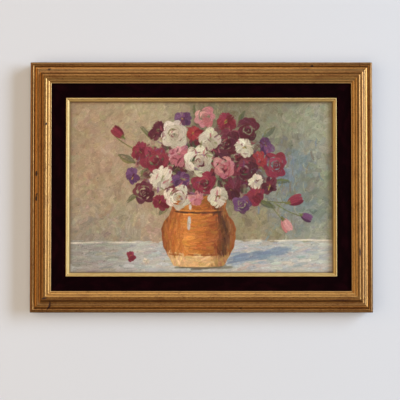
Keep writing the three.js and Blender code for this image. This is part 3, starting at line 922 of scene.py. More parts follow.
@dataclass(frozen=True)
class Pot:
    """A round earthenware pot with a glazed body and a bare clay foot, in millimetres.

    Attributes:
        middle: Middle to the right.
        foot: Height of its underside.
        rim: Height of its rim.
        clay_top: Height where the glaze ends above the bare clay.
        collar: Height of the groove under its neck.
        profile: Half widths with their heights, from the foot up.
    """

    middle: float = -4.0
    foot: float = -121.0
    rim: float = -16.0
    clay_top: float = -101.0
    collar: float = -36.0
    profile: tuple[Point, ...] = (
        (35.0, -121.0), (38.0, -118.0), (43.0, -112.0), (47.5, -104.0), (52.0, -94.0), (55.3, -84.0),
        (57.0, -74.0), (56.6, -64.0), (53.6, -55.0), (49.8, -48.0), (45.8, -42.0), (42.8, -36.0),
        (41.2, -31.0), (40.8, -26.0), (42.2, -20.0), (44.0, -16.0),
    )

    GLAZE_ACROSS = {
        -1.0: Pigment.GLAZE_DEEP,
        -0.75: Pigment.GLAZE,
        -0.3: Pigment.GLAZE_LIGHT,
        0.15: Pigment.GLAZE,
        0.5: Pigment.GLAZE_DEEP,
        0.74: Pigment.GLAZE_SHADE,
        0.9: Pigment.GLAZE_WARM_EDGE,
        1.0: Pigment.GLAZE_DEEP,
    }

    def radius(self, z: float | np.ndarray) -> float | np.ndarray:
        """Gives the pot's half width at one height or at several."""
        radii, heights = zip(*self.profile)
        return np.interp(z, heights, radii)

    def outline(self, layer: PaintLayer) -> np.ndarray:
        """Gives how far each point of a layer lies within the pot's outline.

        Args:
            layer: The layer that the pot is painted on.

        Returns:
            An array of the layer's size, from 0 outside to 1 inside.
        """
        right, up = np.meshgrid(layer.x - self.middle, layer.z)
        sag = 5.0 * np.sqrt(np.clip(1.0 - (right / 48.0) ** 2, 0.0, 1.0))
        wobble = 0.7 * np.sin(up / 5.3) + 0.4 * np.sin(up / 2.1 + 1.0)
        beside = self.radius(up + 0.5 * sag) + wobble - np.abs(right)
        above = up - self.foot + sag - 4.0
        below = self.rim + 3.0 - up
        return np.clip(np.minimum(np.minimum(beside, above), below) / 1.2 + 0.5, 0.0, 1.0)

    def tone(self, across: float | np.ndarray) -> np.ndarray:
        """Gives the glaze's colour."""
        stops = list(self.GLAZE_ACROSS)
        parts = np.array([pigment.colour for pigment in self.GLAZE_ACROSS.values()])
        return np.stack([np.interp(across, stops, parts[:, part]) for part in range(3)], axis=-1)


class StillLife:
    """Paints a bunch of garden flowers in a round pot on a pale cloth."""

    CLOTH_TOP = -83.0
    LIGHT_FROM = math.radians(135.0)
    BUNCH_MIDDLE = (4.0, 30.0)
    BUNCH_REACH = 105.0
    COVERED_EDGE = 1.8
    # Painted shadow of the fillet's lip along the picture's edge.
    EDGE_SHADOW = 0.42
    SHADOW_REACH = 1.7
    GROUND_THICKNESS = 0.04

    WALL_PASSES = (
        (620, 27.0, 13.0, Brush(0.06, 0.95, 0.16, sway=1.2)),
        (1500, 12.5, 7.5, Brush(0.06, 0.6, 0.3, spread=0.034, sway=1.2)),
        (1500, 6.5, 3.2, Brush(0.06, 0.5, 0.5, spread=0.045, sway=1.2)),
    )
    CLOTH_PASSES = (
        (420, 34.0, 9.0, Brush(0.12, 0.85, 0.3, spread=0.02, sway=0.8)),
        (700, 20.0, 4.5, Brush(0.12, 0.85, 0.3, sway=0.8)),
    )
    POT_PASSES = ((420, 22.0, 8.0), (620, 14.0, 4.6))
    POT_HIGHLIGHTS = ((-0.3, -50.0, 13.0), (-0.27, -62.0, 9.0), (-0.34, -29.0, 7.0))
    ROSE_RINGS = (
        (7, 0.7, 0.95, 0.5, 0.0),
        (5, 0.44, 0.72, 0.36, 0.12),
        (4, 0.2, 0.46, 0.26, 0.45),
        (2, 0.05, 0.3, 0.16, 1.0),
    )
    WALL_TOUCHES = (Pigment.BLUE_GREY, Pigment.OLIVE_GREY, Pigment.PALE_SAGE)
    CLOTH_TOUCHES = (
        Pigment.CLOTH_WHITE, Pigment.CLOTH_BLUE, Pigment.CLOTH_WHITE, Pigment.CLOTH_WHITE, Pigment.CLOTH_BLUE,
        Pigment.CLOTH_PINK,
    )
    GREENERY_TOUCHES = (Pigment.WINE, Pigment.DEEP_GREEN, Pigment.OLIVE_GREY, Pigment.CRIMSON)
    ACCENT_TOUCHES = (
        Pigment.CREAM_SHADE, Pigment.PINK, Pigment.CRIMSON_LIGHT, Pigment.VIOLET_LIGHT, Pigment.LEAF_GREEN,
        Pigment.CRIMSON, Pigment.WINE, Pigment.WINE,
    )
    STEMS = (
        ((50.0, -18.0), (100.0, -22.0), (136.0, -24.0)),
        ((112.0, -24.0), (134.0, -40.0), (155.0, -45.0)),
        ((104.0, -23.0), (116.0, -42.0), (127.0, -52.0)),
        ((-60.0, 40.0), (-112.0, 60.0), (-130.0, 76.0)),
    )
    STEM_PULLS = 9
    LEAVES = (
        (-114.0, 44.0, 2.7, 30.0),
        (-104.0, -16.0, 3.7, 26.0),
        (-84.0, 84.0, 2.3, 28.0),
        (104.0, 84.0, 0.7, 26.0),
        (122.0, 8.0, 0.1, 28.0),
        (100.0, -26.0, -0.4, 30.0),
        (-58.0, -34.0, 4.0, 24.0),
        (62.0, 108.0, 1.1, 22.0),
        (-10.0, 118.0, 1.7, 18.0),
    )

    def __init__(self, layer: PaintLayer) -> None:
        """Takes the layer to paint on.

        Args:
            layer: Bare grid of paint.
        """
        self.layer = layer
        self.random = layer.random
        self.pot = Pot()
        self.half_width = float(layer.x[-1])
        self.half_height = float(layer.z[-1])

    def paint(self) -> None:
        """Paints the picture from the ground up."""
        self._ground()
        self._background()
        self._cloth()
        self._pot()
        self._greenery()
        for blossom in (*SPRIG_BUDS, *BUNCH, *FALLEN):
            self._blossom(blossom)
        self._accents()
        self._specks()
        self._edge_dirt()

    def _touch(
        self, stroke: Pull, colour: np.ndarray, brush: Brush, within: np.ndarray | None = None
    ) -> None:
        """Makes one pull, with a colour mixed a little off the one meant."""
        mixed = self.layer.near(colour, brush.spread)
        if brush.sway:
            stroke = replace(stroke, bend=self.random.normal(0.0, brush.sway))
        self.layer.pull(stroke, brush, mixed, within)

    def _any(self, pigments: tuple[Pigment, ...]) -> np.ndarray:
        """Gives the colour of one of several pigments by chance."""
        return pigments[self.random.integers(0, len(pigments))].colour

    def _place(self, low: float, high: float) -> tuple[float, float]:
        """Gives a random place between two heights over the whole width."""
        x = self.random.uniform(-self.half_width, self.half_width)
        return x, self.random.uniform(low, high)

    def _turn_and_reach(self) -> tuple[float, float]:
        """Gives a random place in a round, as its direction and its share of the way out."""
        turn = self.random.uniform(0.0, 2.0 * math.pi)
        return turn, math.sqrt(self.random.random())

    def _backdrop_colour(self, x: float | np.ndarray, z: float | np.ndarray) -> np.ndarray:
        """Gives the background's broad colour at one place or at several."""
        total = 1e-6
        mixed = 1e-6 * Pigment.WARM_BEIGE.colour
        for pool in BACKGROUND:
            weight = np.exp(-((x - pool.x) ** 2 + (z - pool.z) ** 2) / pool.reach**2)
            total = total + weight
            mixed = mixed + np.asarray(weight)[..., None] * pool.pigment.colour
        return mixed / np.asarray(total)[..., None]

    def _ground(self) -> None:
        """Rubs a thin ground of the background's and the cloth's colours over the canvas."""
        right, up = np.meshgrid(self.layer.x, self.layer.z)
        self.layer.colour[:] = self._backdrop_colour(right, up)
        self.layer.colour[self.layer.z < self.CLOTH_TOP] = Pigment.CLOTH_WHITE.colour
        self.layer.thickness[:] = self.GROUND_THICKNESS

    def _background(self) -> None:
        """Scrubs in the wall behind the flowers, first broadly and then in smaller touches."""
        random = self.random
        for count, length, width, brush in self.WALL_PASSES:
            for _ in range(count):
                x, z = self._place(self.CLOTH_TOP - 6.0, self.half_height + 4.0)
                swirl = 0.9 * math.sin(x / 61.0 + 1.3) + 0.8 * math.cos(z / 47.0 - x / 90.0)
                angle = math.pi / 2.3 + 0.6 * swirl + random.normal(0.0, 0.9)
                colour = self._backdrop_colour(x + random.normal(0, 14.0), z + random.normal(0, 14.0))
                stroke = Pull(x, z, angle, length * random.uniform(0.7, 1.3),
                              width * random.uniform(0.7, 1.3))
                self._touch(stroke, colour, brush)
        for _ in range(90):
            x = random.normal(128.0, 24.0)
            z = random.normal(10.0, 50.0)
            colour = self._any(self.WALL_TOUCHES)
            angle = math.pi / 2 + random.normal(0.0, 0.4)
            stroke = Pull(x, z, angle, random.uniform(9.0, 22.0), random.uniform(1.6, 3.4))
            self._touch(stroke, colour, Brushes.WALL_TOUCH)

    def _cloth(self) -> None:
        """Lays in the pale cloth with its lit back edge and the pot's shadow on it."""
        random = self.random
        for count, length, width, brush in self.CLOTH_PASSES:
            for _ in range(count):
                x, z = self._place(-self.half_height - 3.0, self.CLOTH_TOP - 2.5)
                colour = self._any(self.CLOTH_TOUCHES)
                shade = 0.7 / (1.0 + math.exp((x + 120.0) / 16.0))
                colour = colour + shade * (Pigment.DUSK_GREY.colour - colour)
                stroke = Pull(x, z, random.normal(0.04, 0.12), length * random.uniform(0.6, 1.3),
                              width * random.uniform(0.7, 1.3))
                self._touch(stroke, colour, brush)
        for _ in range(120):
            share = random.random()
            x = 46.0 + 88.0 * share + random.normal(0, 3.0)
            z = -112.0 + 17.0 * share + random.normal(0, 5.5 * (1.0 - 0.5 * share))
            stroke = Pull(x, z, 0.2, random.uniform(12.0, 22.0), random.uniform(2.5, 5.0),
                          strength=1.0 - 0.55 * share)
            self._touch(stroke, Pigment.CLOTH_SHADE.colour, Brushes.CLOTH_SHADOW)
        for _ in range(60):
            x = random.uniform(-self.half_width, self.half_width)
            z = self.CLOTH_TOP + random.normal(0.0, 0.5) + 0.012 * x
            stroke = Pull(x, z, 0.012, random.uniform(14.0, 34.0), random.uniform(1.6, 2.8))
            self._touch(stroke, Pigment.CLOTH_BRIGHT.colour, Brushes.CLOTH_EDGE)

    def _pot(self) -> None:
        """Builds the pot in curved pulls that follow its form."""
        pot, random = self.pot, self.random
        for _ in range(70):
            stroke = Pull(pot.middle + random.normal(10.0, 17.0), pot.foot + random.normal(-0.5, 1.4), 0.05,
                          random.uniform(14.0, 26.0), 3.0)
            self._touch(stroke, Pigment.OLIVE_GREY.colour * 0.8, Brushes.POT_FOOT)
        within = pot.outline(self.layer)
        self._pot_undercoat(within)
        for count, length, width in self.POT_PASSES:
            for _ in range(count):
                z = random.uniform(pot.foot - 3.0, pot.rim + 3.0)
                radius = pot.radius(z)
                across = random.uniform(-1.0, 1.0)
                side = math.sqrt(max(1.0 - across**2, 0.04))
                colour = self._pot_colour(across, z)
                pull_length = length * side * random.uniform(0.6, 1.1) + 3.0
                x = pot.middle + across * radius
                level = side >= 0.9
                angle = (0.24 * across if level else math.pi / 2) + random.normal(0.0, 0.2)
                pull_length = pull_length if level else 0.8 * length
                pull_width = width * random.uniform(0.6, 1.1) * (0.5 + 0.5 * side)
                stroke = Pull(x, z - 0.06 * radius * side, angle, pull_length, pull_width, bend=-0.8 * side)
                self._touch(stroke, colour, Brushes.POT_BODY, within)
        self._pot_lines(within)

    def _pot_colour(self, across: float, z: float) -> np.ndarray:
        """Gives the pot's colour at a place, with an uneven edge between the glaze and the clay."""
        pot = self.pot
        colour = pot.tone(across)
        if z < pot.clay_top + self.random.normal(0.0, 1.2):
            clay = Pigment.CLAY.colour
            return clay + max(across - 0.25, 0.0) * 1.3 * (Pigment.CLAY_SHADE.colour - clay)
        if z > pot.collar:
            return colour + 0.25 * (Pigment.GLAZE_DEEP.colour - colour)
        return colour

    def _pot_undercoat(self, within: np.ndarray) -> None:
        """Lays in the glaze and the bare clay thinly over the whole pot.

        Args:
            within: The pot's outline, as a share at each point.
        """
        layer, pot = self.layer, self.pot
        across = (layer.x - pot.middle) / pot.radius(layer.z)[:, None]
        tone = pot.tone(np.clip(across, -1.0, 1.0))
        tone[layer.z < pot.clay_top] = Pigment.CLAY.colour
        layer.colour += within[..., None] * (tone - layer.colour)

    def _pot_lines(self, within: np.ndarray) -> None:
        """Draws the collar's dark groove, the edge of the bare clay and the highlights.

        Args:
            within: The pot's outline, as a share at each point.
        """
        pot, random = self.pot, self.random
        for line, pigment, width in (
            (pot.collar, Pigment.GLAZE_SHADE, 2.4),
            (pot.collar + 3.0, Pigment.GLAZE_LIGHT, 1.6),
            (pot.clay_top, Pigment.GLAZE_DEEP, 2.2),
        ):
            radius = pot.radius(line)
            for _ in range(16):
                across = random.uniform(-0.86, 0.86)
                z = line - 3.2 * math.sqrt(1.0 - across**2) + random.normal(0.0, 0.4)
                stroke = Pull(pot.middle + across * radius, z, 0.2 * across, random.uniform(8.0, 15.0), width)
                self._touch(stroke, pigment.colour, Brushes.POT_LINE, within)
        for across, z, length in self.POT_HIGHLIGHTS:
            for _ in range(3):
                x = pot.middle + across * pot.radius(z) + random.normal(0.0, 0.8)
                stroke = Pull(x, z + random.normal(0.0, 1.0), math.pi / 2 + random.normal(0, 0.15),
                              length, 3.4)
                self._touch(stroke, Pigment.HIGHLIGHT.colour, Brushes.HIGHLIGHT)

    def _greenery(self) -> None:
        """Fills the heart of the bunch with dark touches and adds stems and leaves round it."""
        random = self.random
        for _ in range(620):
            turn, far = self._turn_and_reach()
            x = 4.0 + 106.0 * far * math.cos(turn)
            z = 38.0 + 60.0 * far * math.sin(turn) - 0.0012 * x * x
            if z < -30.0:
                continue
            colour = self._any(self.GREENERY_TOUCHES)
            stroke = Pull(x, z, turn + random.normal(0, 0.6), random.uniform(8.0, 16.0),
                          random.uniform(3.5, 7.0), strength=1.15 - far**3)
            self._touch(stroke, colour, Brushes.GREENERY)
        for stem in self.STEMS:
            self._stem(np.array(stem))
        for x, z, angle, length in self.LEAVES:
            self._leaf(x, z, angle, length)

    def _stem(self, places: np.ndarray) -> None:
        """Draws a stem in short pulls along a bent line through three places."""
        for step in range(self.STEM_PULLS):
            share = (step + 0.5) / self.STEM_PULLS
            weights = np.array([(1 - share) ** 2, 2 * share * (1 - share), share**2])
            slopes = np.array([share - 1.0, 1.0 - 2.0 * share, share])
            x, z = weights @ places
            run, rise = slopes @ places
            length = 1.4 * 2.0 * math.hypot(run, rise) / self.STEM_PULLS + 2.0
            stroke = Pull(x, z, math.atan2(rise, run), length, 2.0)
            self._touch(stroke, Pigment.LEAF_GREEN.colour, Brushes.STEM)

    def _leaf(self, x: float, z: float, angle: float, length: float) -> None:
        """Paints a leaf as a dark and a light pull side by side."""
        for offset, share, pigment in ((0.0, 0.3, Pigment.DEEP_GREEN), (0.06, 0.14, Pigment.LEAF_GREEN)):
            aside = offset * length
            stroke = Pull(x - aside * math.sin(angle), z + aside * math.cos(angle), angle, length,
                          length * share)
            self._touch(stroke, pigment.colour, Brushes.LEAF)

    def _petal(self, blossom: Blossom, turn: float, inner: float, outer: float, width: float) -> None:
        """Paints one petal in three overlapping pulls that run out from the heart.

        Args:
            blossom: The flower that the petal belongs to.
            turn: Direction of the petal.
            inner: Where it starts, as a share of the flower's radius.
            outer: Where it ends, as a share of the flower's radius.
            width: Its width, as a share of the flower's radius.
        """
        lit = 0.5 + 0.5 * math.cos(turn - self.LIGHT_FROM)
        out_x, out_z = blossom.x - self.BUNCH_MIDDLE[0], blossom.z - self.BUNCH_MIDDLE[1]
        turned_away = min(math.hypot(out_x, out_z) / self.BUNCH_REACH, 1.0) ** 1.5
        towards = math.cos(turn - math.atan2(out_z, out_x))
        shorter = 1.0 - 0.42 * turned_away * towards**2
        length = (outer - inner) * blossom.radius * shorter
        far = 0.5 * (outer + inner) * blossom.radius * shorter
        for part in (-1.0, 1.0, 0.0):
            angle = turn + 0.16 * part
            share = float(np.clip(0.25 + 0.55 * lit + self.random.normal(0.0, 0.2), 0.0, 1.0))
            aside = 0.3 * part * width * blossom.radius
            stroke = Pull(
                blossom.x + far * math.cos(angle) - aside * math.sin(turn),
                blossom.z + far * math.sin(angle) + aside * math.cos(turn),
                angle + self.random.normal(0.0, 0.1),
                length * (1.0 if part == 0.0 else 0.86) * self.random.uniform(0.9, 1.12),
                0.62 * width * blossom.radius,
                bend=0.06 * part * length,
            )
            self._touch(stroke, blossom.colour(share), Brushes.PETAL)

    def _blossom(self, blossom: Blossom) -> None:
        """Paints one flower or bud."""
        painters = {ROSETTE: self._rose, OPEN: self._open_flower, BUD: self._bud}
        painters[blossom.kind](blossom)

    def _open_flower(self, blossom: Blossom) -> None:
        """Paints a flower of a few broad petals round a small heart."""
        random = self.random
        count = int(random.integers(4, 7))
        for petal in range(count):
            turn = blossom.turn + 2.0 * math.pi * petal / count + random.normal(0.0, 0.25)
            width = 4.0 / count * random.uniform(0.75, 1.15)
            self._petal(blossom, turn, 0.04, random.uniform(0.7, 1.15), width)
        hearts = (Pigment.LEAF_GREEN, blossom.hue.value[1], Pigment.WINE, Pigment.POLLEN)
        for _ in range(3):
            colour = self._any(hearts)
            stroke = Pull(blossom.x + random.normal(0, 1.2), blossom.z + random.normal(0, 1.2),
                          random.uniform(0, math.pi), 0.36 * blossom.radius, 0.15 * blossom.radius)
            self._touch(stroke, colour, Brushes.HEART)

    def _rose(self, blossom: Blossom) -> None:
        """Paints a full flower in curved pulls that close in on its heart."""
        random = self.random
        for count, far, length, width, sunk in self.ROSE_RINGS:
            for petal in range(count):
                turn = blossom.turn + far + 2.0 * math.pi * petal / count + random.normal(0.0, 0.25)
                lit = 0.5 + 0.5 * math.cos(turn - self.LIGHT_FROM)
                share = float(np.clip(0.2 + 0.8 * lit - sunk + random.normal(0.0, 0.16), 0.0, 1.0))
                away = far * blossom.radius * random.uniform(0.82, 1.15)
                run = length * blossom.radius * random.uniform(0.8, 1.15)
                stroke = Pull(blossom.x + away * math.cos(turn), blossom.z + away * math.sin(turn),
                              turn + 0.5 * math.pi + random.normal(0.0, 0.22), run,
                              width * blossom.radius * random.uniform(0.75, 1.15), bend=-0.32 * run)
                self._touch(stroke, blossom.colour(share), Brushes.ROSE_PETAL)

    def _bud(self, blossom: Blossom) -> None:
        """Paints a closed bud in pulls along its own direction, with a green calyx behind it."""
        x, z, radius, turn = blossom.x, blossom.z, blossom.radius, blossom.turn
        cosine, sine = math.cos(turn), math.sin(turn)
        for part, share in ((-1.0, 0.1), (1.0, 0.6), (0.0, 0.9)):
            aside = 0.26 * part * radius
            stroke = Pull(x - aside * sine, z + aside * cosine, turn + 0.14 * part, 1.7 * radius,
                          0.62 * radius, bend=0.8 * part)
            self._touch(stroke, blossom.colour(share), Brushes.BUD_PETAL)
        for part in (-1.0, 0.0, 1.0):
            stroke = Pull(x - 0.85 * radius * cosine - part * sine, z - 0.85 * radius * sine + part * cosine,
                          turn + 0.5 * part, 0.7 * radius, 0.2 * radius)
            self._touch(stroke, Pigment.LEAF_GREEN.colour, Brushes.CALYX)

    def _accents(self) -> None:
        """Adds loose thick touches of the flowers' colours over the bunch."""
        random = self.random
        for _ in range(170):
            turn, far = self._turn_and_reach()
            x = 4.0 + 108.0 * far * math.cos(turn)
            z = 40.0 + 64.0 * far * math.sin(turn)
            colour = self._any(self.ACCENT_TOUCHES)
            stroke = Pull(x, z, random.uniform(0, math.pi), random.uniform(5.0, 13.0),
                          random.uniform(1.6, 3.8))
            self._touch(stroke, colour, Brushes.ACCENT)

    def _specks(self) -> None:
        """Scatters fine light and dark specks, as dried bits of paint and old dirt leave."""
        for _ in range(900):
            x, z = self._place(-self.half_height, self.half_height)
            share = self.random.random()
            tone = 0.62 if share < 0.55 else 1.18
            column = int(np.argmin(np.abs(self.layer.x - x)))
            row = int(np.argmin(np.abs(self.layer.z - z)))
            colour = np.clip(self.layer.colour[row, column] * tone, 0.0, 0.97)
            size = self.random.uniform(0.9, 1.9)
            self.layer.pull(Pull(x, z, share * math.pi, size * 1.4, size), Brushes.SPECK, colour)

    def _edge_dirt(self) -> None:
        """Darkens the paint along the sight edge, as a painted shadow of the fillet's lip."""
        right, up = np.meshgrid(np.abs(self.layer.x), np.abs(self.layer.z))
        inside = np.minimum(self.half_width - right, self.half_height - up) - self.COVERED_EDGE
        share = self.EDGE_SHADOW * np.exp(-np.maximum(inside, 0.0) / self.SHADOW_REACH)
        self.layer.colour += share[..., None] * (Pigment.GLAZE_SHADE.colour - self.layer.colour)


@dataclass(frozen=True)
class Member:
    """One member of a moulding in section, in millimetres.

    Attributes:
        width: How far it runs across the moulding.
        rise: How far it comes forward.
        bow: How far its middle bows outwards, as a share of its length.
    """

    width: float
    rise: float
    bow: float = 0.0


def traced(start: Point, members: tuple[Member, ...], direction: float, step: float) -> list[Point]:
    """Traces the face of a moulding from member to member.

    Args:
        start: Where the first member starts.
        members: Members in order.
        direction: 1 where they run inwards and -1 where they run outwards.
        step: Longest step between two points.

    Returns:
        Points along the face, the start included.
    """
    points = [start]
    for member in members:
        across, forward = points[-1]
        run = direction * member.width
        count = max(2, math.ceil(math.hypot(run, member.rise) * (1.0 + 2.0 * abs(member.bow)) / step))
        half_angle = 2.0 * math.atan(2.0 * member.bow)
        for number in range(1, count + 1):
            along, height = number / count, 0.0
            if member.bow:
                radius = 0.5 / math.sin(half_angle)
                angle = half_angle * (2.0 * number / count - 1.0)
                along = 0.5 + radius * math.sin(angle)
                height = radius * (math.cos(angle) - math.cos(half_angle))
            points.append(
                (
                    across + along * run - height * direction * member.rise,
                    forward + along * member.rise + height * direction * run,
                )
            )
    return points


def straight(start: Point, end: Point, step: float) -> list[Point]:
    """Gives even points on a line, without its end."""
    count = max(1, round(math.dist(start, end) / step))
    shares = (number / count for number in range(count))
    run, rise = end[0] - start[0], end[1] - start[1]
    return [(start[0] + share * run, start[1] + share * rise) for share in shares]


@dataclass
class Section:
    """The closed outline of a mitred length, in millimetres inwards and forwards.

    Attributes:
        points: Points of the outline in order.
        bare: For each point, 1 where the wood is left bare and 0 where it is finished.
        dull: For each point, how much painted shade it gets besides what its hollows give.
        seams: Lines of painted shade and dirt on the face, as how far inwards they lie and how dark they are.
        rubs: Lines rubbed bright on the face, as how far inwards they lie and how bright they are.
    """

    points: list[Point]
    bare: list[float]
    dull: list[float]
    seams: tuple[tuple[float, float], ...] = ()
    rubs: tuple[tuple[float, float], ...] = ()

    SEAM_WIDTH = 0.42
    RUB_WIDTH = 0.8
    RELIEF_REACH = (0.4, 0.8, 1.2)
    FULL_RELIEF = 0.3
    UNRUBBED = 0.3

    @classmethod
    def joined(cls, *runs: tuple[list[Point], float, float]) -> "Section":
        """Joins runs of points, each with its share of bare wood and of painted shade."""
        points = [point for run, _, _ in runs for point in run]
        bare = [share for run, share, _ in runs for _ in run]
        dull = [share for run, _, share in runs for _ in run]
        return cls(points, bare, dull)

    def _relief(self, outline: np.ndarray, outwards: np.ndarray) -> np.ndarray:
        """Gives how far each point stands out from its neighbourhood, below 0 in a hollow."""
        steps = np.linalg.norm(np.roll(outline, -1, axis=0) - outline, axis=1)
        far = np.concatenate(([0.0], np.cumsum(steps)))
        closed = np.vstack((outline, outline[:1]))
        around = np.zeros_like(outline)
        for reach in self.RELIEF_REACH:
            for way in (-reach, reach):
                at = (far[:-1] + way) % far[-1]
                around += np.column_stack([np.interp(at, far, closed[:, part]) for part in range(2)])
        around /= 2.0 * len(self.RELIEF_REACH)
        return ((outline - around) * outwards).sum(1)

    @staticmethod
    def _line(outline: np.ndarray, inwards: float, share: float, width: float) -> np.ndarray:
        """Gives the strength at each point of a soft line along the moulding."""
        return share * np.exp(-(((outline[:, 0] - inwards) / width) ** 2))

    def mesh(self, name: str) -> bpy.types.Mesh:
        """Makes the section's points, with their outward directions, hollows and rubbed edges.

        Args:
            name: Name of the mesh.

        Returns:
            A mesh of loose points in metres.
        """
        outline = np.array(self.points)
        tangent = np.roll(outline, -1, axis=0) - np.roll(outline, 1, axis=0)
        outwards = np.column_stack((tangent[:, 1], -tangent[:, 0]))
        outwards /= np.linalg.norm(outwards, axis=1)[:, None]
        across, forward = outline.T
        area = (across * np.roll(forward, -1) - forward * np.roll(across, -1)).sum()
        outwards *= math.copysign(1.0, area)
        relief = self._relief(outline, outwards) / self.FULL_RELIEF
        bare = np.array(self.bare)
        dull = np.array(self.dull)
        rubbed = relief - self.UNRUBBED
        for inwards, share in self.seams:
            dull = np.maximum(dull, self._line(outline, inwards, share, self.SEAM_WIDTH))
        for inwards, share in self.rubs:
            rubbed = np.maximum(rubbed, self._line(outline, inwards, share, self.RUB_WIDTH))
        mesh = bpy.data.meshes.new(name)
        mesh.from_pydata([(across * MM, forward * MM, 0.0) for across, forward in self.points], [], [])
        # The hollow share carries painted shade with dirt in the hollows and seams, and painted shade on the
        # darkened faces.
        fields = {
            "hollow": np.clip(np.maximum(-relief, dull), 0.0, 1.0) * (1.0 - bare),
            "rubbed": np.clip(rubbed, 0.0, 1.0) * (1.0 - bare),
            "bare": bare,
        }
        for label, values in fields.items():
            write_field(mesh, label, values)
        flat = np.column_stack((outwards, np.zeros(len(outline)))).astype(np.float32)
        mesh.attributes.new("outwards", "FLOAT_VECTOR", "POINT").data.foreach_set("vector", flat.ravel())
        return mesh


def mitred_length_group() -> GeometryGroup:
    """Builds the group that draws a section out along a length with mitred ends.

    The section's points lie inwards along X and forwards along Y. The length lies along X with its outer
    edge at the top and its face towards -Y.
    """
    kinds = {"Points Round": "int", "Segments": "int", "Length": "float", "End Gap": "float", "Wave": "float",
             "Grit": "float", "Seed": "float", "Material": "material"}
    group = GeometryGroup("mitred_length", kinds)
    given = group.given
    sizes = {"Radius": 1.0, "Depth": 1.0}
    sizes |= {"Vertices": given["Points Round"], "Side Segments": given["Segments"]}
    tube = group.add("GeometryNodeMeshCylinder", {"fill_type": "NGON"}, sizes)
    index = group.add("GeometryNodeInputIndex").outputs[0]
    round_index = group.math("FLOORED_MODULO", index, given["Points Round"])

    def sampled(label: str, kind: str) -> Socket:
        """Reads a field of the section at each point's place round it."""
        if label == "position":
            field = group.add("GeometryNodeInputPosition").outputs[0]
        else:
            settings = {"data_type": kind}
            field = group.add("GeometryNodeInputNamedAttribute", settings, {"Name": label}).outputs[0]
        values = {"Geometry": given["Geometry"], "Value": field, "Index": round_index}
        return group.add("GeometryNodeSampleIndex", {"data_type": kind}, values).outputs[0]

    along = group.parts(group.add("GeometryNodeInputPosition").outputs[0])[2]
    flat = sampled("position", "FLOAT_VECTOR")
    outwards = sampled("outwards", "FLOAT_VECTOR")
    bare = sampled("bare", "FLOAT")
    flat_parts = group.parts(flat)
    spot = group.joined(group.times(along, given["Length"]), flat_parts[0], flat_parts[1])
    wave = group.times(group.noise(spot, 45.0, 2.0, 0.5, given["Seed"]), given["Wave"])
    grit = group.noise(spot, 420.0, 3.0, 0.65, given["Seed"])
    grit = group.times(grit, given["Grit"])
    sink = group.times(group.math("ADD", wave, grit), group.math("SUBTRACT", 1.0, bare))
    moved = group.add("ShaderNodeVectorMath", {"operation": "SCALE"}, {0: outwards, "Scale": sink}).outputs[0]
    sunk = group.add("ShaderNodeVectorMath", {"operation": "SUBTRACT"}, {0: flat, 1: moved}).outputs[0]
    parts = group.parts(sunk)
    half = group.math("SUBTRACT", group.times(given["Length"], 0.5), given["End Gap"])
    half = group.math("SUBTRACT", half, parts[0])
    across = group.times(group.times(along, 2.0), half)
    place = group.joined(across, group.times(parts[1], -1.0), group.times(parts[0], -1.0))
    record = group.joined(across, parts[0], parts[1])
    geometry = tube.outputs[0]
    stored = {"place": (record, "FLOAT_VECTOR"), "bare": (bare, "FLOAT")}
    stored |= {label: (sampled(label, "FLOAT"), "FLOAT") for label in ("hollow", "rubbed")}
    for label, (field, kind) in stored.items():
        values = {"Geometry": geometry, "Name": label, "Value": field}
        geometry = group.add("GeometryNodeStoreNamedAttribute", {"data_type": kind}, values).outputs[0]
    values = {"Geometry": geometry, "Position": place}
    geometry = group.add("GeometryNodeSetPosition", inputs=values).outputs[0]
    group.close(group.add("GeometryNodeSetShadeSmooth", inputs={"Geometry": geometry}).outputs[0])
    return group


def lay_flat(mesh: bpy.types.Mesh, places: np.ndarray) -> None:
    """Gives a mesh its own flat layout for its baked looks."""
    mesh.uv_layers.new(name=BAKE_MAP).uv.foreach_set("vector", places.astype(np.float32).ravel())


def corners(mesh: bpy.types.Mesh) -> tuple[np.ndarray, np.ndarray]:
    """Gives the vertex of each face corner and the number of corners of its face."""
    vertex = np.empty(len(mesh.loops), np.int32)
    mesh.loops.foreach_get("vertex_index", vertex)
    total = np.empty(len(mesh.polygons), np.int32)
    mesh.polygons.foreach_get("loop_total", total)
    return vertex, np.repeat(total, total)


def lay_length_flat(mesh: bpy.types.Mesh, outline: np.ndarray) -> None:
    """Lays a mitred length out flat, with its ends in a narrow strip beside it.

    Args:
        mesh: The length, as rings of points that follow the outline.
        outline: The section's points.
    """
    count = len(outline)
    vertex, size = corners(mesh)
    ring, spot = np.divmod(vertex, count)
    steps = np.linalg.norm(np.roll(outline, -1, axis=0) - outline, axis=1)
    around = np.concatenate(([0.0], np.cumsum(steps))) / steps.sum()
    side = size == 4
    quads = spot[side].reshape(-1, 4)
    last = (quads.max(1) == count - 1) & (quads.min(1) == 0)
    quads[last] = np.where(quads[last] == 0, count, quads[last])
    places = np.empty((len(vertex), 2))
    places[side, 0] = (1.0 - END_STRIP) * ring[side] / ring.max()
    places[side, 1] = around[quads.ravel()]
    low, high = outline.min(0), outline.max(0)
    shares = ((outline - low) / (high - low))[spot[~side]]
    places[~side, 0] = 1.0 - END_STRIP * (0.1 + 0.8 * shares[:, 0])
    places[~side, 1] = 0.45 * shares[:, 1] + np.where(ring[~side] > 0, 0.5, 0.02)
    lay_flat(mesh, places)


def facing_out(mesh: bpy.types.Mesh, crease: float) -> None:
    """Turns a closed mesh's faces outwards, shades it smoothly and keeps its creases sharp.

    Args:
        mesh: Mesh to change.
        crease: Least angle of a crease, in radians.
    """
    shell = bmesh.new()
    shell.from_mesh(mesh)
    bmesh.ops.recalc_face_normals(shell, faces=shell.faces)
    shell.to_mesh(mesh)
    shell.free()
    mesh.shade_smooth()
    mesh.set_sharp_from_angle(angle=crease)


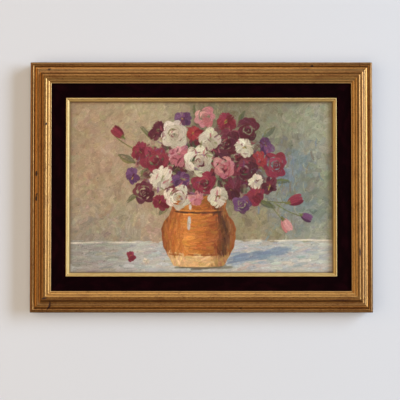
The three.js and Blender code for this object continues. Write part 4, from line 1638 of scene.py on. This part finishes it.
def shown(name: str, mesh: bpy.types.Mesh, slot: str, *nodes: str) -> bpy.types.Object:
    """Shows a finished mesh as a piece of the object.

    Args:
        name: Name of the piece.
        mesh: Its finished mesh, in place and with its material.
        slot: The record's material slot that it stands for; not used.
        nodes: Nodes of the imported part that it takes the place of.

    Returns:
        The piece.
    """
    piece = linked(name, mesh)
    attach(piece, BODY)
    if nodes:
        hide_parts(*nodes)
    triangles = sum(len(polygon.vertices) - 2 for polygon in mesh.polygons)
    log.info("%s: %d triangles", name, triangles)
    return piece


@dataclass(frozen=True)
class Mark:
    """A dark spot or crack in the gilding, in millimetres from the picture's centre.

    Attributes:
        x: Middle to the right.
        z: Middle upwards.
        length: Length of the mark.
        width: Width of the mark.
        angle: Direction of its length, anticlockwise from +X, in degrees.
        bend: How far its middle bows aside.
        depth: How far it is sunk into the surface.
    """

    x: float
    z: float
    length: float
    width: float
    angle: float = 0.0
    bend: float = 0.0
    depth: float = 0.0

    def strength(self, points: np.ndarray, centre: float) -> np.ndarray:
        """Gives the mark's strength at each point.

        Args:
            points: Points in metres, one in a row.
            centre: Height of the picture's centre, in metres.

        Returns:
            Values from 0 off the mark to 1 on it.
        """
        right = points[:, 0] / MM - self.x
        up = (points[:, 2] - centre) / MM - self.z
        turn = math.radians(self.angle)
        along = (right * math.cos(turn) + up * math.sin(turn)) / (0.5 * self.length)
        across = up * math.cos(turn) - right * math.sin(turn) - self.bend * (1.0 - along**2)
        far = np.hypot(along, across / (0.5 * self.width))
        return np.clip(1.6 - 1.1 * far, 0.0, 1.0)


@dataclass
class MitredRing:
    """Four mitred lengths of one section round the picture.

    Attributes:
        layout: Places of the rings.
        ring: The ring's outer size.
        name: Start of the pieces' names.
        prefix: Start of the names of the nodes that they take the place of.
        slot: The record's material slot.
        segment: Length of one segment, in millimetres.
        end_gap: Half the width of the open line at a mitre, in millimetres.
        wave: Depth of the slow unevenness, in millimetres.
        grit: Depth of the fine unevenness, in millimetres.
        crease: Least angle of a sharp crease, in degrees.
        marks: Dark marks on the face.
        smoke: Share of painted shade on the top length's members near the picture, where light from above
            falls short.
    """

    layout: Layout
    ring: Ring
    name: str
    prefix: str
    slot: str
    segment: float
    end_gap: float = 0.06
    wave: float = 0.12
    grit: float = 0.08
    crease: float = 38.0
    marks: tuple[Mark, ...] = ()
    smoke: float = 0.0

    UNMARKED_DEPTH = 10.0

    def build(self, group: GeometryGroup, section: Section, material: bpy.types.Material) -> None:
        """Builds and shows the four lengths.

        Args:
            group: The group that draws out a mitred length.
            section: The outline to draw out.
            material: Their finish.
        """
        outline = section.mesh(f"{self.name}_section")
        for number, side in enumerate(Side):
            length = self.ring.length(side)
            values = {
                "Points Round": len(section.points),
                "Segments": round(length / MM / self.segment),
                "Length": length,
                "End Gap": self.end_gap * MM,
                "Wave": self.wave * MM,
                "Grit": self.grit * MM,
                "Seed": 10.0 * number + 1.0,
                "Material": material,
            }
            mesh = group.run(f"{self.name}_{side.word}", outline, values)
            mesh.transform(self.layout.side_place(side, self.ring))
            self._mark(mesh)
            # Painted shade, on the top length alone.
            smoke = self.smoke if side is Side.TOP else 0.0
            write_field(mesh, "smoke", np.full(len(mesh.vertices), smoke))
            facing_out(mesh, math.radians(self.crease))
            lay_length_flat(mesh, np.array(section.points))
            shown(mesh.name, mesh, self.slot, f"{self.prefix}_{side.word}")

    def _mark(self, mesh: bpy.types.Mesh) -> None:
        """Writes the marks' strength to the mesh and sinks the deep ones."""
        points = np.empty(3 * len(mesh.vertices), np.float32)
        mesh.vertices.foreach_get("co", points)
        points = points.reshape(-1, 3)
        strength = np.zeros(len(points), np.float32)
        for mark in self.marks:
            here = mark.strength(points, self.layout.centre)
            front = points[:, 1] < self.layout.back - self.UNMARKED_DEPTH * MM
            strength = np.maximum(strength, here * front)
            points[:, 1] += (here * front * mark.depth * MM).astype(np.float32)
        mesh.vertices.foreach_set("co", points.ravel())
        write_field(mesh, "mark", strength)


@dataclass
class GiltRails:
    """The four gilt rails, moulded from the sight bead over the crest and the hollow to the outer bead."""

    layout: Layout
    width: float = 33.2
    rebate: float = 6.0
    lip_back: float = 24.4
    lip: float = 1.8
    chamfer: float = 0.8
    step: float = 0.5

    QUIRK = (Member(0.3, -0.65), Member(0.3, 0.65))
    MOULDING = (
        Member(1.6, 0.1, 0.3),
        Member(3.7, 2.8, 0.2),
        *QUIRK,
        Member(2.7, 2.1, 0.2),
        Member(3.4, 0.3, 0.1),
        Member(2.6, -2.6, 0.1),
        Member(4.6, -4.25, -0.14),
        Member(2.4, -0.9, 0.3),
        Member(4.8, -2.9, 0.12),
        *QUIRK,
        Member(6.2, -1.25, 0.3),
    )
    # Dark lines in the creases between members: painted shade with dirt.
    SEAMS = ((6.5, 0.12), (11.6, 0.55), (14.0, 0.5), (18.7, 0.3), (21.3, 0.35), (24.6, 0.6), (29.6, 0.45))
    RUBS = ((32.6, 0.6),)
    MARKS = (
        Mark(-233.2, -180.2, 15.0, 3.2, 68.0, -2.2, 0.5),
        Mark(-238.2, -169.2, 8.0, 2.6, 12.0, 0.4),
        Mark(-251.5, 20.8, 8.0, 4.2, 90.0),
        Mark(-251.8, -17.5, 7.4, 3.6, 85.0),
        Mark(-250.8, -11.0, 4.5, 2.8, 70.0),
        Mark(-232.6, 180.0, 5.0, 3.6, 10.0),
        Mark(169.4, 185.4, 5.0, 3.4, 0.0),
        Mark(159.2, 180.0, 12.0, 2.0, 3.0, 0.4),
        Mark(240.5, -99.4, 12.0, 1.9, 90.0),
        Mark(226.0, -96.0, 3.4, 2.2, 40.0),
        Mark(-236.0, 96.0, 4.0, 2.4, 80.0),
        Mark(60.0, -184.5, 4.4, 2.0, 5.0),
        Mark(210.0, -171.5, 34.0, 1.4, 1.0),
    )

    def section(self) -> Section:
        """Gives the rail's outline, from the sight edge outwards and back round."""
        face = traced((self.width, self.lip_back + self.lip), self.MOULDING, -1.0, self.step)
        inner = self.width - self.rebate
        outer_side = straight(face[-1], (0.0, self.chamfer), 1.5)[1:]
        back = [(0.0, self.chamfer), *straight((self.chamfer, 0.0), (inner, 0.0), 6.0)]
        rebate = [*straight((inner, 0.0), (inner, self.lip_back), 8.0), (inner, self.lip_back)]
        lip = [(self.width - 0.3, self.lip_back)]
        edge = straight((self.width, self.lip_back), face[0], 0.6)
        # The outer side and the sight edge are darkened as painted shade, where those faces turn from the
        # light.
        section = Section.joined(
            (face, 0.0, 0.0), (outer_side, 0.0, 0.5), (back, 1.0, 0.0), (rebate, 1.0, 0.0), (lip, 1.0, 0.0),
            (edge, 0.0, 0.4),
        )
        section.seams = self.SEAMS
        section.rubs = self.RUBS
        return section

    def build(self, group: GeometryGroup) -> None:
        """Builds the four rails."""
        ring = MitredRing(
            self.layout, self.layout.rails, "gilt_rail", "frame_rail", "gilt", segment=1.5, marks=self.MARKS,
            smoke=0.42,
        )
        ring.build(group, self.section(), GiltFinish().make())


@dataclass
class VelvetLiner:
    """The flat liner between the rails and the fillet, wrapped in velvet."""

    layout: Layout
    width: float = 27.3
    front: float = 24.1
    depth: float = 12.0
    lip: float = 5.0
    rebate: float = 2.5
    edge: float = 1.6
    pile_step: float = 1.0

    def section(self) -> Section:
        """Gives the liner's outline, with its inner front edge rounded over."""
        back = self.front - self.depth
        lip_back = self.front - self.lip
        turns = [number / 8 * math.pi / 2 for number in range(9)]
        across, forward = self.width - self.edge, self.front - self.edge
        nose = [(across + self.edge * math.cos(turn), forward + self.edge * math.sin(turn)) for turn in turns]
        face = straight(nose[-1], (0.0, self.front), self.pile_step)[1:]
        inner = straight((self.width, lip_back), nose[0], 1.0)
        outer = straight((0.0, self.front), (0.0, back), 4.0)
        rebate = self.width - self.rebate
        behind = [*straight((0.0, back), (rebate, back), 8.0), (rebate, back), (rebate, lip_back)]
        covered = [(run, 0.0, 0.0) for run in (inner, nose, face, outer)]
        return Section.joined(*covered, (behind, 1.0, 0.0))

    def build(self, group: GeometryGroup) -> None:
        """Builds the four lengths of the liner."""
        names = ("velvet_side", "velvet_liner", "velvet")
        sizes = {"segment": 3.0, "end_gap": 0.03, "wave": 0.15, "grit": 0.12}
        ring = MitredRing(self.layout, self.layout.liner, *names, **sizes)
        ring.build(group, self.section(), VelvetFinish().make())


@dataclass
class SightFillet:
    """The bright fillet at the sight edge: a bead on the velvet, a quirk and a bevel down to the picture."""

    layout: Layout
    back: float = 17.3
    tongue: float = 1.5
    rebate: float = 2.5
    shoulder: float = 24.8
    lip: float = 2.6
    bead: Member = Member(2.3, 0.0, 0.4)
    bevel_width: float = 3.0
    bevel_bow: float = 0.12
    step: float = 0.28

    def section(self) -> Section:
        """Gives the fillet's outline."""
        lip_front = self.back + self.lip
        members = (
            self.bead,
            Member(0.25, -0.6),
            Member(0.25, 0.6),
            Member(self.bevel_width, lip_front - self.shoulder, self.bevel_bow),
        )
        face = traced((self.rebate, self.shoulder), members, 1.0, self.step)
        inner = face[-1][0]
        edge = straight(face[-1], (inner, self.back), 0.8)[1:]
        tongue = self.back + self.tongue
        behind = [(inner, self.back), (self.rebate, self.back), (0.0, self.back), (0.0, tongue)]
        behind += straight((self.rebate, tongue), (self.rebate, self.shoulder), 1.5)
        # The inner edge and the line beside it are darkened as painted shade, the lip's shadow at the
        # picture's edge.
        section = Section.joined((face, 0.0, 0.0), (edge, 0.0, 0.6), (behind, 1.0, 0.0))
        section.seams = ((inner - 0.2, 1.0),)
        return section

    def build(self, group: GeometryGroup) -> None:
        """Builds the four lengths of the fillet."""
        ring = MitredRing(
            self.layout, self.layout.fillet, "bright_fillet", "sight_fillet", "bright_gilt", segment=1.6,
            end_gap=0.05, wave=0.08, grit=0.08,
        )
        ring.build(group, self.section(), BrightGiltFinish().make())


def mesh_of(
    name: str, points: np.ndarray, faces: list[np.ndarray], material: bpy.types.Material
) -> bpy.types.Mesh:
    """Makes a mesh from arrays.

    Args:
        name: Name of the mesh.
        points: Points in metres, one in a row.
        faces: Arrays of faces, each with one face in a row and all of one size.
        material: The mesh's finish.

    Returns:
        The mesh.
    """
    mesh = bpy.data.meshes.new(name)
    mesh.vertices.add(len(points))
    mesh.vertices.foreach_set("co", points.astype(np.float32).ravel())
    vertices = np.concatenate([face.ravel() for face in faces]).astype(np.int32)
    counts = np.concatenate([np.full(len(face), face.shape[1]) for face in faces])
    starts = np.concatenate(([0], np.cumsum(counts)[:-1])).astype(np.int32)
    mesh.loops.add(len(vertices))
    mesh.loops.foreach_set("vertex_index", vertices)
    mesh.polygons.add(len(counts))
    mesh.polygons.foreach_set("loop_start", starts)
    mesh.update(calc_edges=True)
    mesh.materials.append(material)
    return mesh


@dataclass
class PaintFilm:
    """The paint on the canvas, as thin tiles whose faces stand as high as the paint does."""

    layout: Layout
    width: float = 405.0
    height: float = 265.0
    sight_width: float = 402.0
    sight_height: float = 261.0
    cell: float = 0.75
    tiles: int = 3
    seed: int = 7
    stand_off: float = 0.02
    hidden_thickness: float = 0.12
    edge_fade: float = 1.2

    def build(self) -> None:
        """Paints the picture and shows its tiles."""
        layer = PaintLayer(self.width, self.height, self.cell, self.seed)
        StillLife(layer).paint()
        thickness = self._held_back(layer)
        material = PaintFinish().make()
        breaks = np.linspace(0, layer.x.size - 1, self.tiles + 1).round().astype(int)
        for number, (first, last) in enumerate(zip(breaks[:-1], breaks[1:])):
            columns = slice(first, last + 1)
            name = f"paint_film_{number + 1}"
            mesh = self._tile(name, layer.x[columns], layer.z, thickness[:, columns], material)
            self._colour(mesh, layer.colour[:, columns])
            nodes = ("painted_canvas",) if number == 0 else ()
            shown(name, mesh, "oil_paint", *nodes)

    def _held_back(self, layer: "PaintLayer") -> np.ndarray:
        """Gives the paint's thickness, kept thin where the fillet's lip covers it."""
        right, up = np.meshgrid(np.abs(layer.x), np.abs(layer.z))
        inside = np.minimum(0.5 * self.sight_width - right, 0.5 * self.sight_height - up)
        share = np.clip(inside / self.edge_fade, 0.0, 1.0)
        return self.hidden_thickness + share * (np.maximum(layer.thickness, 0.02) - self.hidden_thickness)

    def _tile(
        self, name: str, x: np.ndarray, z: np.ndarray, thickness: np.ndarray, material: bpy.types.Material
    ) -> bpy.types.Mesh:
        """Makes one closed tile of paint.

        Args:
            name: Name of the tile.
            x: Places of its columns to the right, in millimetres.
            z: Places of its rows upwards, in millimetres.
            thickness: Thickness of the paint at each point, in millimetres.
            material: The paint's finish.

        Returns:
            The tile's mesh.
        """
        rows, columns = z.size, x.size
        right, up = np.meshgrid(x, z)
        depth = self.layout.canvas_depth / MM + self.stand_off
        top = np.column_stack((right.ravel(), -(depth + thickness).ravel(), up.ravel()))
        number = np.arange(rows * columns).reshape(rows, columns)
        rim = np.concatenate((number[0], number[1:, -1], number[-1, -2::-1], number[-2:0:-1, 0]))
        bottom = top[rim].copy()
        bottom[:, 1] = -depth
        middle = np.array([[x.mean(), -depth, z.mean()]])
        points = np.vstack((top, bottom, middle)) * MM
        points += np.array([0.0, self.layout.back, self.layout.centre])
        low, right_low = number[:-1, :-1].ravel(), number[:-1, 1:].ravel()
        high, right_high = number[1:, :-1].ravel(), number[1:, 1:].ravel()
        faces = np.column_stack((low, right_low, right_high, high))
        under = top.shape[0] + np.arange(rim.size)
        walls = np.column_stack((rim, under, np.roll(under, -1), np.roll(rim, -1)))
        fan = np.column_stack((under, np.full(rim.size, len(points) - 1), np.roll(under, -1)))
        mesh = mesh_of(name, points, [faces, walls, fan], material)
        mesh.shade_smooth()
        mesh.set_sharp_from_angle(angle=math.radians(75.0))
        vertex, size = corners(mesh)
        flat = np.column_stack((points[:, 0], points[:, 2]))
        flat = (flat - flat.min(0)) / np.ptp(flat, axis=0)
        places = flat[vertex]
        walls_from, fan_from = faces.size, faces.size + walls.size
        turn = np.arange(rim.size)[:, None] + np.array([[0, 0, 1, 1]])
        places[:walls_from, 1] = 0.06 + 0.94 * places[:walls_from, 1]
        places[walls_from:fan_from, 0] = (turn / rim.size).ravel()
        places[walls_from:fan_from, 1] = np.tile((0.035, 0.05, 0.05, 0.035), rim.size)
        places[fan_from:, 1] *= 0.025
        lay_flat(mesh, places)
        return mesh

    def _colour(self, mesh: bpy.types.Mesh, display: np.ndarray) -> None:
        """Writes the paint's colours to a tile, as linear colours at its points."""
        display = np.clip(display, 0.0, 1.0).reshape(-1, 3)
        parts = linear_parts(display)
        colours = np.ones((len(mesh.vertices), 4), np.float32)
        colours[: len(parts), :3] = parts
        colours[len(parts):, :3] = parts.mean(0)
        mesh.attributes.new("paint_colour", "FLOAT_COLOR", "POINT").data.foreach_set("color", colours.ravel())


@dataclass
class CanvasSheet:
    """The linen of the canvas, drawn over the front of the stretcher, round its edges and onto its back."""

    layout: Layout
    thickness: float = 0.7
    corner: float = 1.4
    least_corner: float = 0.3
    turnover: float = 15.0
    fray: float = 0.9
    sag: float = 0.2
    seed: int = 21
    point_spacing: float = 3.2
    corner_points: int = 5

    def _profile(self) -> list[tuple[float, float, float]]:
        """Gives the sheet's outside from the middle of its face to its cut edge.

        Returns:
            The inset, the height in front of the back plane and the share of ground at each ring.
        """
        depth = self.layout.canvas_depth / MM
        face = [(inset, depth, 1.0) for inset in (100.0, 60.0, 30.0, 10.0, 1.4)]
        roll = [(0.5, depth - 0.25, 1.0), (0.12, depth - 0.8, 1.0), (0.0, depth - 1.6, 0.9)]
        edge = [(0.0, depth * share, 0.4 * share) for share in (0.75, 0.5, 0.25, 0.1)]
        behind = [(0.2, 0.5, 0.0), (0.6, 0.15, 0.0), (1.4, 0.0, 0.0)]
        behind += [(inset, 0.0, 0.0) for inset in (4.0, 7.0, 10.0, 12.5, self.turnover)]
        return face + roll + edge + behind

    def _within(self, inset: float, forward: float) -> tuple[float, float]:
        """Gives the inner side's place for one on the outer side."""
        depth = self.layout.canvas_depth / MM
        inner = max(inset, self.thickness)
        return inner, min(max(forward, self.thickness), depth - self.thickness)

    def build(self) -> None:
        """Builds the sheet as a closed shell."""
        random = np.random.default_rng(self.seed)
        profile = self._profile()
        count = len(self._ring(0.0)[0])
        waves = self._smooth(random, count, 60)
        frays = self._smooth(random, count, 5)
        outer, inner = [], []
        for inset, forward, _ in profile:
            slack = self.sag * waves * np.clip((inset - 3.0) / 5.0, 0.0, 1.0) * (forward == 0.0)
            loose = self.fray * (frays - 0.5) * (inset == self.turnover)
            outer.append(self._placed(inset, forward + slack, loose))
            inset, forward = self._within(inset, forward)
            inner.append(self._placed(inset, forward + slack, loose))
        points = np.vstack(outer + inner[::-1])
        number = np.arange(2 * len(profile) * count).reshape(-1, count)
        near, far = number[:-1], number[1:]
        sides = np.stack((near, far, np.roll(far, -1, axis=1), np.roll(near, -1, axis=1)), axis=-1)
        sides = sides.reshape(-1, 4)
        mesh = mesh_of("canvas_sheet", points, [sides, number[:1], number[-1:]], LinenFinish().make())
        primed = np.repeat([share for _, _, share in profile] + [0.0] * len(profile), count)
        write_field(mesh, "primed", primed)
        facing_out(mesh, math.radians(40.0))
        shown("canvas_sheet", mesh, "oil_paint", "painted_canvas")

    @staticmethod
    def _smooth(random: np.random.Generator, count: int, reach: int) -> np.ndarray:
        """Gives values from 0 to 1 that change smoothly round the sheet."""
        values = np.tile(random.random(count), 3)
        kernel = np.hanning(reach + 2)
        smooth = np.convolve(values, kernel / kernel.sum(), mode="same")[count : 2 * count]
        return (smooth - smooth.min()) / (smooth.max() - smooth.min())

    def _ring(self, inset: float) -> tuple[np.ndarray, np.ndarray]:
        """Gives a rounded oblong within the canvas's outer edge.

        Args:
            inset: How far it lies within the edge, in millimetres.

        Returns:
            Its points and their outward directions, to the right and upwards.
        """
        radius = max(self.corner - inset, self.least_corner)
        half = 0.5 * np.array([self.layout.canvas.width, self.layout.canvas.height]) / MM
        middle = half - inset - radius
        turns = np.linspace(0.0, math.pi / 2, self.corner_points)
        points, normals = [], []
        for quarter, (right, up) in enumerate(((1, 1), (-1, 1), (-1, -1), (1, -1))):
            angles = turns + quarter * math.pi / 2
            way = np.column_stack((np.cos(angles), np.sin(angles)))
            arc = way * radius + middle * (right, up)
            next_corner = middle * ((-1, 1), (-1, -1), (1, -1), (1, 1))[quarter] + way[-1] * radius
            count = round(2.0 * half[quarter % 2] / self.point_spacing)
            shares = np.arange(1, count)[:, None] / count
            points += [arc, arc[-1] + shares * (next_corner - arc[-1])]
            normals += [way, np.repeat(way[-1:], len(shares), axis=0)]
        return np.vstack(points), np.vstack(normals)

    def _placed(self, inset: float, forward: np.ndarray, loose: np.ndarray) -> np.ndarray:
        """Gives one ring of points in the part's frame."""
        flat, normals = self._ring(inset)
        flat = flat + normals * loose[:, None]
        points = np.column_stack((flat[:, 0], -forward, flat[:, 1]))
        return points * MM + np.array([0.0, self.layout.back, self.layout.centre])


def tack_group() -> GeometryGroup:
    """Builds the group that sets a domed tack head on each point of a mesh."""
    kinds = {"Head Radius": "float", "Head Height": "float", "Sides": "int", "Rings": "int", "Seed": "int",
             "Material": "material"}
    group = GeometryGroup("canvas_tacks", kinds)
    given = group.given
    values = {"Segments": given["Sides"], "Rings": given["Rings"], "Radius": given["Head Radius"]}
    ball = group.add("GeometryNodeMeshUVSphere", inputs=values).outputs[0]
    flatness = group.math("DIVIDE", given["Head Height"], given["Head Radius"])
    scale = group.joined(1.0, 1.0, flatness)
    head = group.add("GeometryNodeTransform", inputs={"Geometry": ball, "Scale": scale}).outputs[0]
    head = group.add("GeometryNodeSetShadeSmooth", inputs={"Geometry": head}).outputs[0]
    values = {0: (-0.12, -0.12, 0.0), 1: (0.12, 0.12, 6.28), "Seed": given["Seed"]}
    tilt = group.add("FunctionNodeRandomValue", {"data_type": "FLOAT_VECTOR"}, values).outputs[0]
    values = {0: tilt, 1: (math.pi / 2, 0.0, 0.0)}
    upright = group.add("ShaderNodeVectorMath", {"operation": "ADD"}, values)
    points = group.add("GeometryNodeMeshToPoints", inputs={"Mesh": given["Geometry"]}).outputs[0]
    values = {"Points": points, "Instance": head, "Rotation": upright.outputs[0]}
    group.close(group.add("GeometryNodeInstanceOnPoints", inputs=values).outputs[0])
    return group


@dataclass
class CanvasTacks:
    """Steel tacks that hold the canvas's turnover on the back of the stretcher."""

    layout: Layout
    inset: float = 8.0
    spacing: float = 50.0
    radius: float = 2.6
    height: float = 0.8
    clear_of: float = 75.0
    clear_by: float = 12.0
    seed: int = 5

    def places(self) -> list[tuple[float, float, float]]:
        """Gives the middle of each head, clear of the plates that hold the stretcher."""
        half_width = 0.5 * self.layout.canvas.width / MM - self.inset
        half_height = 0.5 * self.layout.canvas.height / MM - self.inset
        random = np.random.default_rng(self.seed)
        places = []
        sides = ((half_width, half_height, False), (half_height, half_width, True))
        for half_run, half_across, upright in sides:
            count = round(2.0 * half_run / self.spacing)
            for end in (-1.0, 1.0):
                for number in range(count):
                    along = half_run * ((2 * number + 1) / count - 1.0) + random.normal(0.0, 1.5)
                    off = half_across * end + random.normal(0.0, 0.6)
                    too_far = abs(along) - self.clear_of
                    if upright and abs(too_far) < self.clear_by:
                        along += math.copysign(2.0 * self.clear_by, too_far) * math.copysign(1, along)
                    x, z = (off, along) if upright else (along, off)
                    places.append((x * MM, self.layout.back - 0.1 * MM, self.layout.centre + z * MM))
        return places

    def build(self, material: bpy.types.Material) -> None:
        """Builds all the tack heads as one piece."""
        source = bpy.data.meshes.new("tack_places")
        source.from_pydata(self.places(), [], [])
        values = {"Head Radius": self.radius * MM, "Head Height": self.height * MM, "Sides": 12, "Rings": 6,
                  "Seed": self.seed, "Material": material}
        mesh = tack_group().run("canvas_tacks", source, values)
        shown("canvas_tacks", mesh, "steel")


@dataclass
class BackFittings:
    """The stretcher, its keys and the metal fittings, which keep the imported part's shapes."""

    def dress(self) -> bpy.types.Material:
        """Gives each node its wood or metal and returns the steel."""
        pine = ((186, 148, 98), (140, 102, 62))
        beech = ((206, 168, 122), (172, 132, 88))
        woods = {
            ("stretcher_bar", False): WoodFinish("pine_across", *pine, Grain.ALONG_X).make(),
            ("stretcher_bar", True): WoodFinish("pine_upright", *pine, Grain.ALONG_Z).make(),
            ("stretcher_key", False): WoodFinish("beech_across", *beech, Grain.ALONG_X).make(),
            ("stretcher_key", True): WoodFinish("beech_upright", *beech, Grain.ALONG_Z).make(),
        }
        steel = MetalFinish("zinc_steel", (176, 174, 168), (118, 114, 106), 0.36).make()
        brass = MetalFinish("dull_brass", (186, 150, 84), (122, 92, 46), 0.36).make()
        for name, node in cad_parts.items():
            kind = "_".join(name.split("_")[:2])
            upright = "_left" in name[: len(kind) + 6] or "_right" in name[: len(kind) + 7]
            if (kind, upright) in woods:
                self._paint(node, woods[kind, upright])
            elif kind in ("retaining_plate", "plate_screw"):
                self._paint(node, steel)
            elif name.startswith("hanger"):
                self._paint(node, brass)
        log.info("stretcher, keys and fittings: dressed")
        return steel

    @staticmethod
    def _paint(node: bpy.types.Object, material: bpy.types.Material) -> None:
        """Gives a node one material all over."""
        node.data.materials.clear()
        node.data.materials.append(material)


class Reach(Enum):
    """What a light reaches."""

    ALL = "all"
    MATT = "matt"
    GLOSS = "gloss"


@dataclass
class Studio:
    """The plain pale floor and backdrop, the soft lights and the camera.

    Attributes:
        layout: Places of the rings.
        view_width: Width that the camera takes in at the moulding's widest plane, in metres.
        distance: How far the camera stands from that plane, in metres.
        widest_plane: How far that plane lies in front of the back plane, in metres.
        sensor: Width of the camera's sensor, in millimetres.
        aside: How far the camera stands to the right, in metres.
        below: How far it stands below the picture's centre, in metres.
        pitch: How far it tips up, in degrees.
        floor_drop: How far the floor lies below the frame, in metres.
        room_strength: Strength of the room's even light.
        pale: Colour of the floor and the backdrop.
    """

    layout: Layout
    view_width: float = 0.6115
    distance: float = 1.5
    widest_plane: float = 0.0196
    sensor: float = 36.0
    aside: float = -0.00205
    below: float = 0.0535
    pitch: float = 1.291
    floor_drop: float = 0.6
    room_strength: float = 0.145
    pale: Display = (220, 227, 239)

    def build(self) -> None:
        """Builds the studio."""
        self._floor_and_backdrop()
        self._lights()
        self._camera()
        bpy.context.scene.view_settings.view_transform = "Standard"

    def _sheet(
        self, name: str, corners: list[tuple[float, float, float]], material: bpy.types.Material
    ) -> None:
        """Makes one flat sheet for the floor or the backdrop."""
        mesh = bpy.data.meshes.new(name)
        mesh.from_pydata(corners, [], [range(len(corners))])
        mesh.materials.append(material)
        piece = linked(name, mesh)
        piece.visible_shadow = name != "backdrop"
        piece.visible_diffuse = False
        piece.visible_glossy = False

    def _floor_and_backdrop(self) -> None:
        """Makes a floor below the frame and a backdrop that shows from the front alone."""
        low = cad_box[0].z - self.floor_drop
        floor = MaterialSheet("pale_floor")
        floor_material = floor.dress({"Base Color": linear(self.pale), "Roughness": 0.9})
        reach, high, wall = 4.0, 3.0, 0.001
        turns = ((-reach, -reach), (reach, -reach), (reach, reach), (-reach, reach))
        self._sheet("floor", [(x, y, low) for x, y in turns], floor_material)
        sheet = MaterialSheet("pale_backdrop")
        sheet.dress({"Base Color": linear(self.pale), "Roughness": 0.95, "Specular IOR Level": 0.1})
        clear = sheet.add("ShaderNodeBsdfTransparent").outputs[0]
        behind = sheet.add("ShaderNodeNewGeometry").outputs["Backfacing"]
        values = {0: behind, 1: sheet.shader.outputs[0], 2: clear}
        both = sheet.add("ShaderNodeMixShader", inputs=values).outputs[0]
        sheet.tree.links.new(both, sheet.tree.nodes["Material Output"].inputs["Surface"])
        turns = ((-reach, low), (reach, low), (reach, high), (-reach, high))
        self._sheet("backdrop", [(x, wall, z) for x, z in turns], sheet.material)

    def _light(self, name: str, place: Vector, size: tuple[float, float], power: float, colour: Display,
               reach: Reach = Reach.ALL) -> None:
        """Makes a soft light that faces the picture.

        Args:
            name: Name of the light.
            place: Where it stands, from the picture's centre, in metres.
            size: Its width and height, in metres.
            power: Its power, in watts.
            colour: Its colour.
            reach: What it lights.
        """
        data = bpy.data.lights.new(name, "AREA")
        data.shape = "RECTANGLE"
        data.size, data.size_y = size
        data.energy = power
        data.color = linear(colour)[:3]
        lamp = linked(name, data)
        lamp.location = Vector((0.0, 0.0, self.layout.centre)) + place
        lamp.rotation_euler = (-place).to_track_quat("-Z", "Y").to_euler()
        lamp.visible_glossy = reach is not Reach.MATT
        lamp.visible_diffuse = reach is not Reach.GLOSS

    def _lights(self) -> None:
        """Sets a tall light at the right, weak ones all round and one behind."""
        self._light("key_light", Vector((3.9, -2.5, 1.1)), (1.8, 3.4), 208.0, (228, 242, 255))
        self._light("front_light", Vector((-0.7, -3.0, -0.3)), (4.0, 4.0), 75.0, (255, 235, 210), Reach.MATT)
        self._light("top_light", Vector((-0.2, -1.3, 2.0)), (1.6, 1.6), 14.0, (255, 246, 234), Reach.GLOSS)
        self._light("low_light", Vector((0.2, -1.5, -1.4)), (1.6, 1.6), 5.2, (255, 232, 206), Reach.GLOSS)
        self._light("fill_light", Vector((-1.9, -1.1, 0.2)), (1.6, 1.6), 9.5, (255, 206, 142))
        self._light("back_light", Vector((0.9, 1.6, 0.8)), (1.2, 1.2), 26.0, (255, 255, 255))
        world = bpy.data.worlds.new("soft_room")
        world.use_nodes = True
        background = world.node_tree.nodes["Background"]
        background.inputs["Color"].default_value = linear((255, 234, 208))
        background.inputs["Strength"].default_value = self.room_strength
        bpy.context.scene.world = world

    def _camera(self) -> None:
        """Stands the camera a little below the picture's centre, tipped up to it."""
        data = bpy.data.cameras.new("camera")
        data.sensor_width = self.sensor
        data.lens = self.distance * self.sensor / self.view_width
        camera = linked("camera", data)
        camera.location = (self.aside, self.layout.back - self.widest_plane - self.distance,
                           self.layout.centre - self.below)
        camera.rotation_euler = (math.radians(90.0 + self.pitch), 0.0, 0.0)
        bpy.context.scene.camera = camera


def write_sizes() -> None:
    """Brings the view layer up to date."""
    bpy.context.view_layer.update()


def main() -> None:
    """Builds the dressed model piece by piece."""
    layout = Layout.read()
    group = mitred_length_group()
    GiltRails(layout).build(group)
    VelvetLiner(layout).build(group)
    SightFillet(layout).build(group)
    CanvasSheet(layout).build()
    PaintFilm(layout).build()
    steel = BackFittings().dress()
    CanvasTacks(layout).build(steel)
    Studio(layout).build()
    write_sizes()


if __name__ == "__main__":
    logging.basicConfig(level=logging.INFO, format="%(message)s")
    main()
